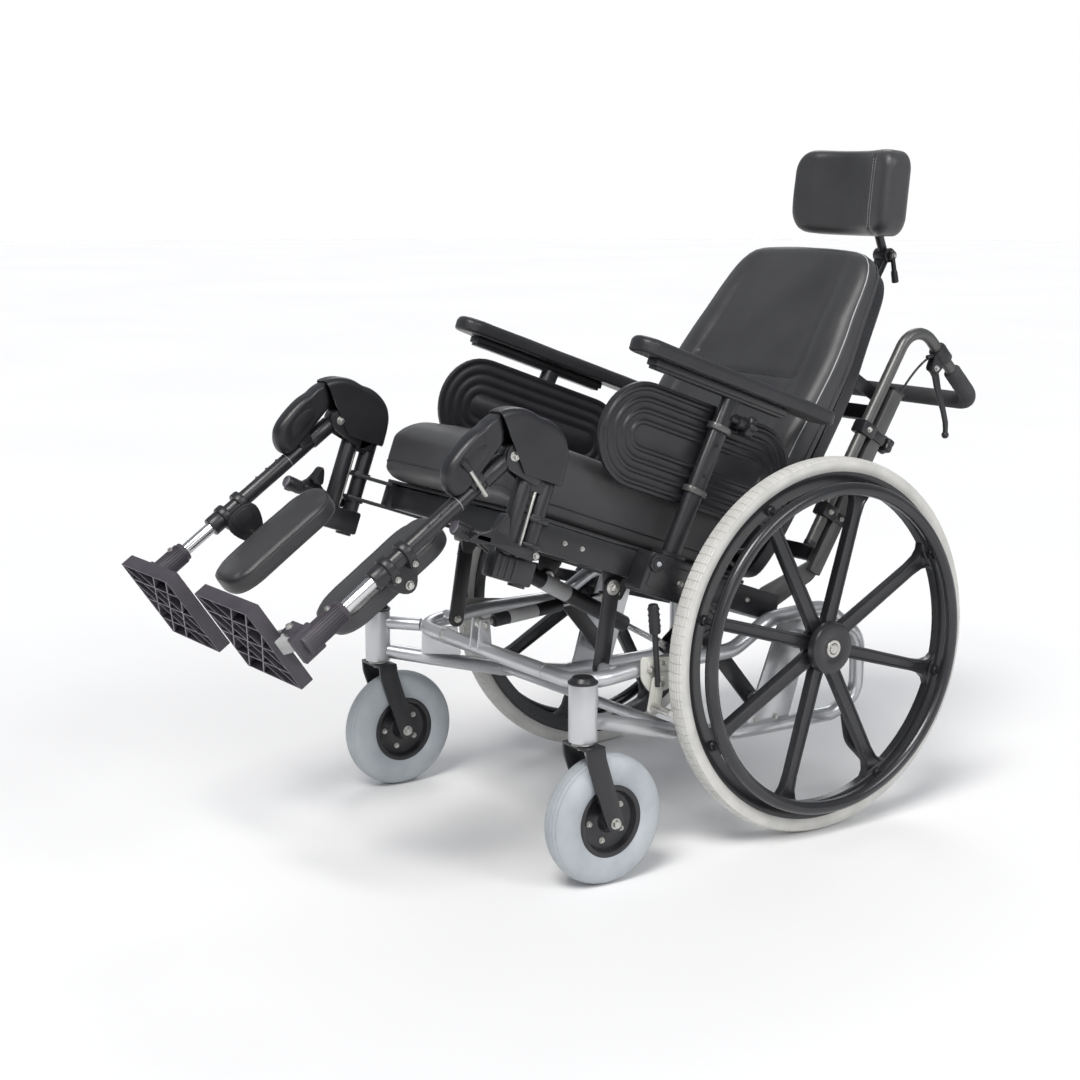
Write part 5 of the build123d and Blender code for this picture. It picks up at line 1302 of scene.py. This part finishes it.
hanger = Piece()
bar(hanger, (LEG_X, -244, -30), (LEG_X, -244, 112), 13, sides=40, ease=1.5)
bar(hanger, (LEG_X, -206, -54), (LEG_X, -206, 112), 13, sides=40, ease=1.5)
block(hanger, (240, -262, -50), (270, -190, -12), 4)
for y in (-254, -242, -230):
    block(hanger, (268, y, -47), (271.4, y + 5, -15), 1.2)
block(hanger, (245, -244, 84), (265, -206, 110), 2.5)
plate(hanger, [(-228, 88), (-208, 104), (-268, 139), (-286, 142), (-300, 126), (-290, 108)], 238.6, 241,
      corner=7)
block(hanger, (238.6, -232, 90), (247, -208, 104), 1)
plate(hanger, softened([(-292, 106), (-296, 132), (-284, 144), (-250, 128), (-226, 108), (-226, 92),
                        (-262, 98)], 2), 266.4, 269.6, ease=1.2)
hanger.paint(powder)
across(hanger, 239, 270, *KNEE, 7)
screw(hanger, (269.6, -280, 123), LEFT, 4.8)
screw(hanger, (238.6, -280, 123), RIGHT, 6)
bar(hanger, (262, -225, -14), (262, -225, 86), 2.6)
across(hanger, 265, 283.6, *LATCH_PIN, 4)
screw(hanger, (281.4, *LATCH_PIN), LEFT, 4.6)
hanger.paint(zinc)
hanger.place_pair("hanger", "hanger", at=SEAT)

latch = Piece()
arm = [(-198, -11), (-198, 2), (-218, 4), (-240, 5), (-258, 11), (-263, 24), (-267, 40), (-275, 43),
       (-281, 28), (-290, 14), (-312, 3), (-326, -9), (-312, -11), (-284, -5), (-240, -12)]
plate(latch, softened(arm, 1), 275, 281, ease=1.6)
plate(latch, softened([(-262, 12), (-265, 30), (-269, 42), (-275, 43), (-280, 28), (-286, 15)], 2), 263,
      281.4, ease=2)
block(latch, (247, -314, -6), (281, -286, 6), 3)
bar(latch, (253, -306, -0.6), (253, -336, 3.7), 11, sides=40, ease=2)
for k in range(4):
    bar(latch, (253, -312 - 5 * k, 0.2 + 0.7 * k), (253, -314 - 5 * k, 0.5 + 0.7 * k), 11.5, sides=40)
latch.paint(moulded)
bar(latch, (253, -335, 3.6), (253, -337.6, 4.0), 9.4, sides=40)
latch.paint(foot_edge)
latch.place_pair("latch_lever", "latch", at=SEAT)

shank = Piece()
bar(shank, (LEG_X, -10, 0), (LEG_X, -275, 0), 12.5, sides=40, ease=1.0)
bar(shank, (LEG_X, -14, 0), (LEG_X, -58, 0), 14.4, sides=40, ease=1.5)
across(shank, 245, 265, 0, 0, 15, sides=40)
block(shank, (241.6, -80, 2), (268.4, -55, 25), 2)
for k in range(3):
    screw(shank, (LEG_X + 8.8, -120 - 22 * k, 8.8), (1, 0, 1), 2, hexagon=False)
shank.paint(powder)
bar(shank, (LEG_X, -249, 0), (LEG_X, -276, 0), 15.5, sides=40, ease=1.8)
bar(shank, (LEG_X, -247, 0), (LEG_X, -253, 0), 16.4, sides=40, ease=1.2)
for y in LEG_RINGS:
    bar(shank, (LEG_X, y + 7, 0), (LEG_X, y - 7, 0), 18.5, sides=48, ease=2.5)
    block(shank, (244, y - 7, -26), (266, y + 7, -12), 3)
plate(shank, softened([(-206, 2), (-252, 2), (-262, -22), (-240, -64), (-216, -64), (-196, -22)], 2), 234.4,
      239.4, ease=1.6)
plate(shank, softened([(-212, -2), (-248, -2), (-252, -20), (-236, -44), (-220, -44), (-208, -20)], 2), 233,
      236, ease=1.2)
block(shank, (238, -252, -8), (248, -208, 6), 2)
shank.paint(moulded)
across(shank, 197, 238, *CALF_PIN, 6)
screw(shank, (239.2, *CALF_PIN), LEFT, 6)
for y in LEG_RINGS:
    screw(shank, (266, y, -19), LEFT, 4, hexagon=False)
shank.paint(zinc)
bar(shank, (LEG_X, -107.5, 0), (LEG_X, -108.3, 0), 12.6, sides=40, ease=0.1)
shank.paint(label)
shank.place_pair("leg_tube", "leg", at=LEG)

slider = Piece()
bar(slider, (LEG_X, -62, 0), (LEG_X, -340, 0), 9.5, sides=40)
slider.paint(chrome)
bar(slider, (LEG_X, -331, 0), (LEG_X, -408, 0), 15.4, 16.6, sides=48, ease=2)


CLAMP_RIBS = 26


def draw_clamp_rib(piece):
    block(piece, (-402, -0.9, 14.6), (-338, 0.9, 17.2), 0.5)


moved(slider, Matrix.Translation((LEG_X, 0, 0)) @ Matrix.Rotation(math.radians(90), 4, "Z"),
      repeat, CLAMP_RIBS, 0, (0, 0, 0), draw_clamp_rib)
block(slider, (249, -420, -22), (261, -382, 22), 2)
for side_z in (1, -1):
    low, high = sorted((side_z * 13.5, side_z * 22))
    block(slider, (218, -410, low), (LEG_X, -388, high), 2)
slider.paint(foot_grey)
bar(slider, (228, -400, -25), (228, -400, 25), 5)
screw(slider, (228, -400, 22), UP, 5, hexagon=False)
screw(slider, (228, -400, -22), DOWN, 5)
screw(slider, (LEG_X, -350, 16.4), UP, 4, hexagon=False)
slider.paint(zinc)
slider.place_pair("leg_extension", "extension", at=LEG)

# %% [markdown]
# A footplate is a shallow tray, stiffened below by crossed ribs. The ribs' lower edges
# are paler than the tray.

# %% Footplates
FOOT_LOW, FOOT_HIGH = Vector((47, -71)), Vector((212, 71))
FOOT_UNDER, FOOT_TOP, RIB_UNDER = -434, -412, -433.6


def draw_rib(piece, offset, slope):
    """One upright rib at a slope, cut off where it meets the tray's walls."""
    middle = (FOOT_LOW + FOOT_HIGH) / 2 + Vector((offset, 0))
    run = Vector((math.cos(slope), math.sin(slope)))
    reach = []
    for sign in (1, -1):
        spans = [((FOOT_HIGH if sign * run[k] > 0 else FOOT_LOW)[k] - middle[k]) / (sign * run[k])
                 for k in (0, 1)]
        reach.append(min(spans) - 2)
    if min(reach) < -4 or sum(reach) < 12:
        return
    start, end = middle - run * reach[1], middle + run * reach[0]
    turn = Matrix.Translation((start.x, 0, start.y)) @ Matrix.Rotation(-slope, 4, "Y")
    moved(piece, turn, block, (0, RIB_UNDER, -1.2), ((end - start).length, -414, 1.2), 0.3)


tray_plate = Piece()
block(tray_plate, (47, FOOT_UNDER, -71), (212, FOOT_TOP, 71), 0)
under = [f for f in tray_plate.bm.faces if f.normal.y < -0.9]
inset(tray_plate.bm, under, 3, even=False)
inset(tray_plate.bm, under, 0.6, -18.4, even=False)
eased(tray_plate.bm, crisp(tray_plate.bm.edges, 60), 1.2)
for slope in (42, -42):
    for offset in (-135, -90, -45, 0, 45, 90, 135):
        draw_rib(tray_plate, offset, math.radians(slope))
for z in (-40, 0, 40):
    block(tray_plate, (50, RIB_UNDER, z - 1.1), (209, -424, z + 1.1), 0.3)
for k in range(9):
    block(tray_plate, (60 + 17 * k, -412.4, -60), (64 + 17 * k, -411, 60), 0.5)
tray_plate.paint(foot_grey)
tray_plate.finishes.append(foot_edge)
# The rib faces that face down the leg, at the ribs' lower edges, take the paler finish.
for face in tray_plate.bm.faces:
    if face.normal.y < -0.6 and face.calc_center_median().y < RIB_UNDER + 2.6:
        face.material_index = 2
ear = [(182, -424), (182, -412.6), (208, -396), (224, -390), (234, -391), (238, -400), (233, -409),
       (210, -427)]
slab(tray_plate, ear, -12.6, 12.6, corner=3, ease=1.2)
tray_plate.paint(label)
bar(tray_plate, (204, -409, 10), (204, -409, 13.2), 5.5)
tray_plate.paint(moulded)
screw(tray_plate, (204, -409, 13), UP, 2.4, hexagon=False)
tray_plate.paint(zinc)
tray_plate.place_pair("footplate", "foot", at=LEG)
print("leg rests placed")

# %% [markdown]
# The seat cushion is a thick box cushion. Its front edge rolls down under the knees, the
# middle of each side is drawn in a little, and a piped seam runs round it low down.

# %% Seat cushion
SEAT_HALF_WIDTH, SEAT_HALF = 200, 224
SEAT_TOP, SEAT_LOW, SEAT_SEAM = 166.5, 56.8, 168
FRONT_ROLL, REAR_ROLL = 0.20, 0.82


def seat_form(x, y, share):
    along_seat = (y + SEAT_HALF) / (2 * SEAT_HALF)
    top = SEAT_TOP - 34 * max(0, FRONT_ROLL - along_seat) ** 2 * 25 - 5.0 * along_seat
    top -= 9.0 * max(0, (along_seat - REAR_ROLL) / (1 - REAR_ROLL)) ** 2
    top += 3.0 * (1 - (x / 202) ** 2) - dent(abs(x) - SEAT_SEAM, 7, 2.2) * (1 if share > 0.9 else 0)
    top += ripple(x, y, 55, 1.1) if share > 0.9 else 0
    low = SEAT_LOW + 26 * max(0, 0.12 - along_seat) ** 2 * 40
    drawn_in = 1 - 0.016 * (1 - (y / SEAT_HALF) ** 2) - 0.010 * dent(share - 0.5, 0.22, 1.0)
    bulge = 1.8 * math.sin(math.pi * share)
    lean = 5 * share * max(0, y / SEAT_HALF) ** 4
    return Vector((x * drawn_in + math.copysign(bulge, x) * (abs(x) > 150),
                   8.6 + y * 0.995 - lean - (bulge if y < -150 else 0), low + (top - low) * share))


seat_pad = Piece()
outline = rounded_box(SEAT_HALF_WIDTH, SEAT_HALF, (24, 24, 42, 42))
cushion(seat_pad, outline, pad_levels(SEAT_HALF_WIDTH, 108, 9, 24), seat_form)
seat_pad.paint(skin)
ring = [seat_form(x, y, 0.2) for x, y in outline[::2]]
welt(seat_pad, [Vector((p.x * 1.002, p.y, p.z)) for p in ring], 1.2, closed=True)
seat_pad.paint(skin_dark)
seat_pad.place("seat_cushion", "seat", at=SEAT)

# %% [markdown]
# The back cushion is a smooth panel between two bolsters that hold the sitter's sides. It
# narrows towards its round top corners. Seams divide the bolsters from the panel, and one
# seam crosses the panel.

# %% Back cushion
BACK_EDGE = [(0, 60), (120, 60), (176, 61), (190, 84), (200, 140), (204, 230), (204.5, 330), (203, 401),
             (195, 445), (186, 491), (178, 543), (170, 580), (152, 606), (124, 617), (60, 621)]
BACK_MIDDLE = 340.0
CROSS_SEAM, SIDE_SEAM, BOLSTER = 365.0, 0.66, 0.80
BACK_REAR = -40.2


def back_edge():
    left = [(-x, z) for x, z in BACK_EDGE[1:]]
    points = [(x, z - BACK_MIDDLE) for x, z in BACK_EDGE + [(0, 621)] + left[::-1]]
    return softened(points, 2)


def between(known, z):
    """Reads a value off straight lines between the known (z, value) points."""
    for (za, wa), (zb, wb) in zip(known, known[1:]):
        if z <= zb:
            return wa + (wb - wa) * max(0, z - za) / (zb - za)
    return known[-1][1]


HALF_WIDTHS = [(60, 180), (140, 200), (330, 204), (401, 203), (445, 195), (491, 186), (543, 178), (580, 170),
               (621, 150)]
BACK_DEPTHS = [(60, -65), (100, -72), (230, -96), (430, -82), (620, -74)]


def half_width(z):
    return between(HALF_WIDTHS, z)


def back_form(x, z, share):
    z += BACK_MIDDLE
    side = abs(x) / half_width(z)
    front = sum(between(BACK_DEPTHS, z + shift) for shift in (-30, -10, 10, 30)) / 4
    fade = min(1.0, (640 - z) / 150, max(0, (z - 130) / 90))
    front += fade * (-12 * math.exp(-((side - BOLSTER) / 0.17) ** 2)) + 4 * side ** 2
    if share > 0.8:
        front += dent(abs(x) - SIDE_SEAM * half_width(z), 5.5, 3.2) * fade + dent(z - CROSS_SEAM, 5,
                                                                             2.6) * (side < 0.72)
        front += ripple(x, z, 60, 1.3, 4.0)
    return Vector((x, BACK_REAR + (front - BACK_REAR) * share, z))


back_pad = Piece()
outline = evened(back_edge(), 8)
cushion(back_pad, outline, pad_levels(204, 52, 5, 17), back_form)
back_pad.paint(skin)
reach = 0.62 * half_width(CROSS_SEAM)
# The welt in the cross seam's groove takes the dark leatherette. This is painted shade that darkens the
# seam's crease.
welt(back_pad, [back_form(reach * k / 12, CROSS_SEAM - BACK_MIDDLE, 1.0) for k in range(-12, 13)], 0.8)
back_pad.paint(skin_dark)
hx, hz = half_sizes(outline)
for width, share in ((2.0, 0.837), (0.0, 0.24)):
    ring = [back_form(x * (1 - width / hx), z * (1 - width / hz), share) for x, z in outline[::2]]
    welt(back_pad, [Vector((p.x * 1.003, p.y, p.z)) for p in ring], 0.9, closed=True)
    back_pad.paint(piping if share > 0.5 else skin_dark)
back_pad.place("back_cushion", "back", at=BACK)


SHELL_REAR, SHELL_DEEP = -12.4, 27


def shell_form(x, z, share):
    return Vector((x, SHELL_REAR - SHELL_DEEP * share, z * 1.035 + BACK_MIDDLE - 21))


shell = Piece()
cushion(shell, outline, pad_levels(204, SHELL_DEEP, 9, 0.8, 14), shell_form)
shell.paint(moulded)
for z in (238, 252, 405, 420):
    for x in (-165, -150, 150, 165):
        screw(shell, (x, -12.6, z), REAR, 3, hexagon=False)
shell.paint(zinc)
shell.place("back_shell", "back", at=BACK)

# %% [markdown]
# The arm pads are long soft mouldings with a parting line near their lower edge.

# %% Arm pads
ARM_HALF_WIDTH, ARM_HALF = 30, 206
ARM_LOW, ARM_THICK, PARTING = 332.3, 23.4, 0.30


def arm_form(x, y, share):
    narrow = 1 - 0.05 * (y + ARM_HALF) / (2 * ARM_HALF)
    crown = 1.6 * (1 - (x / ARM_HALF_WIDTH) ** 2) * (share > 0.85)
    waist = 1 - 0.028 * dent(share - PARTING, 0.07, 1.0)
    return Vector((POST_X + x * narrow * waist, 94 + y * (1 - (1 - waist) * 0.15),
                   ARM_LOW + ARM_THICK * share + crown * 0.8 + ripple(x, y, 40, 0.4)))


arm_pad = Piece()
outline = rounded_box(ARM_HALF_WIDTH, ARM_HALF, (14, 14, 27, 27), 5)
cushion(arm_pad, outline, pad_levels(ARM_HALF_WIDTH, 24, 5, 9, 4), arm_form)
arm_pad.paint(skin_dark)
for piece in arm_pad.place_pair("arm_pad", "arm", at=SEAT):
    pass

# %% [markdown]
# The head rest is one dished pad. Its ends reach forward beside the head, and a stitched
# seam marks where the wing on the sitter's left begins.

# %% Head rest
WING_SEAM = 74.0
HEAD_X, HEAD_Z = 121, 73
HEAD_FRONT, HEAD_REAR = -31, 11.0
STEM_TOP = (92, 700)


def head_form(x, z, share):
    side = abs(x) / HEAD_X
    front = HEAD_FRONT + 2.5 * (z / HEAD_Z) ** 2 - 24 * min(1, abs(x) / WING_SEAM) ** 2
    front -= 7 * min(1, max(0, abs(x) - WING_SEAM) / 28)
    if share > 0.8:
        front += ripple(x, z, 42, 0.8, 9) + dent(x - WING_SEAM, 4.5, 4.6)
    rear = HEAD_REAR - 15 * max(0, (side - 0.42) / 0.58) ** 1.6
    return Vector((x, rear + (front - rear) * share, z * (1 - 0.03 * side * (1 - (z / HEAD_Z) ** 2))))


head_pad = Piece()
outline = rounded_box(HEAD_X, HEAD_Z, (30, 38, 36, 30), 6)
cushion(head_pad, outline, pad_levels(HEAD_Z, 48, 12, 15, 5.5), head_form)
head_pad.paint(skin)
welt(head_pad, [head_form(WING_SEAM, z, 1.0) + Vector((0, 1.6, 0)) for z in range(-64, 65, 8)], 1.4)
head_pad.paint(skin_dark)
for x in (WING_SEAM - 5, WING_SEAM + 5):
    line = [head_form(x, z, 1.0) for z in range(-62, 63, 5)]
    for a, b in zip(line, line[1:]):
        bar(head_pad, a.lerp(b, 0.2), a.lerp(b, 0.8), 0.45, sides=6, ease=0)
head_pad.paint(piping)
head_pad.place("headrest_pad", "headrest", at=HEAD)

stem = Piece()
block(stem, (-12.5, 86, 300), (12.5, 98, 705), 2)
for k in range(5):
    bar(stem, (0, 97.6, 440 + 24 * k), (0, 98.3, 440 + 24 * k), 3.4, sides=16, ease=0.2)
end = BACK.inverted() @ HEAD @ Vector((0, 20, -10))
bar(stem, (0, *STEM_TOP), (0, end.y, end.z), 8)
across(stem, -16, 16, *STEM_TOP, 13, sides=40, ease=1.5)
across(stem, 15, 24, *STEM_TOP, 8, sides=32)
stem.paint(powder)
bar(stem, (21, *STEM_TOP), (24, 110, 677), 4, 4.6, ease=1.5)
bar(stem, (23.6, 108, 679), (24.5, 123, 662), 5.6, 6.6, ease=2.5)
moved(stem, BACK.inverted() @ HEAD, block, (-26, 12.6, -36), (26, 18, 16), 2)
stem.paint(moulded)
across(stem, -18.4, -15, *STEM_TOP, 6, ease=1)
screw(stem, (24, *STEM_TOP), LEFT, 4)
stem.paint(zinc)
stem.place("headrest_stem", "headrest", at=BACK)

# %% [markdown]
# The calf pads are long pads with round ends. A seam runs the length of each pad between
# its face and its border. The shells behind them are covered with mesh.

# %% Calf pads
CALF_X, CALF_Y = 52, 111
CALF_TOP, CALF_LOW, CALF_SEAM = -30.6, -71.5, 36
CALF_MIDDLE = (165, -228)
CALF_EDGE = (51.6, 110.6)


def calf_form(x, y, share):
    top = CALF_TOP - 7 * (abs(x) / CALF_X) ** 2 + 1.6 * (1 - (y / CALF_Y) ** 2)
    if share > 0.85:
        top -= dent(abs(x) - CALF_SEAM, 3.4, 1.8) - ripple(x, y, 35, 0.7, 2)
    low = CALF_LOW + 5 * (abs(x) / CALF_X) ** 2
    pull = 1 - 0.025 * (1 - (y / CALF_Y) ** 2)
    return Vector((CALF_MIDDLE[0] + x * pull, CALF_MIDDLE[1] + y, low + (top - low) * share))


calf = Piece()
outline = rounded_box(*CALF_EDGE, (46, 46, 46, 46), 5)
cushion(calf, outline, pad_levels(CALF_EDGE[0], 41, 14, 11, 4), calf_form)
calf.paint(skin)
near_x, near_y = (1 - 1.6 / edge for edge in CALF_EDGE)
ring = [calf_form(x * near_x, y * near_y, 0.86) for x, y in outline[::2]]
welt(calf, ring, 1.0, closed=True)
calf.paint(skin_dark)
MESH_BELOW = -58
for face in calf.bm.faces:
    faces_down = face.normal.z < -0.55 and face.calc_center_median().z < MESH_BELOW
    if face.material_index == 1 and faces_down:
        face.material_index = 3
calf.finishes.append(weave)
for piece in calf.place_pair("calf_pad", "calf", at=LEG):
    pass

# %% [markdown]
# The brake cables are thin round housings. Each is one curve that follows the bends of
# the solid cable, so it can be as round as a real one.

# %% Brake cables
def cable_points(side):
    start = on_arm(0.39, 6)
    return [Vector((side * start.x, start.y, start.z)), Vector((side * 196, 90, 505)),
            Vector((side * 170, 98, 320)), Vector((side * 178, 40, 292)), Vector((side * 178, 40, 262))]


curve = bpy.data.curves.new("brake_cables", "CURVE")
curve.dimensions = "3D"
curve.bevel_depth = 0.002
curve.bevel_resolution = 4
curve.use_fill_caps = True
curve.resolution_u = 16
for side in (1, -1):
    spline = curve.splines.new("NURBS")
    points = [BACK @ point for point in cable_points(side)]
    spline.points.add(len(points) - 1)
    for slot_point, point in zip(spline.points, points):
        slot_point.co = (*point, 1)
    spline.order_u = 3
    spline.use_endpoint_u = True
curve.materials.append(moulded)
cables = show("brake_cables", curve)
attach(cables, "push_handle")
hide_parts("brake_cables")
print("soft pieces and cables placed")
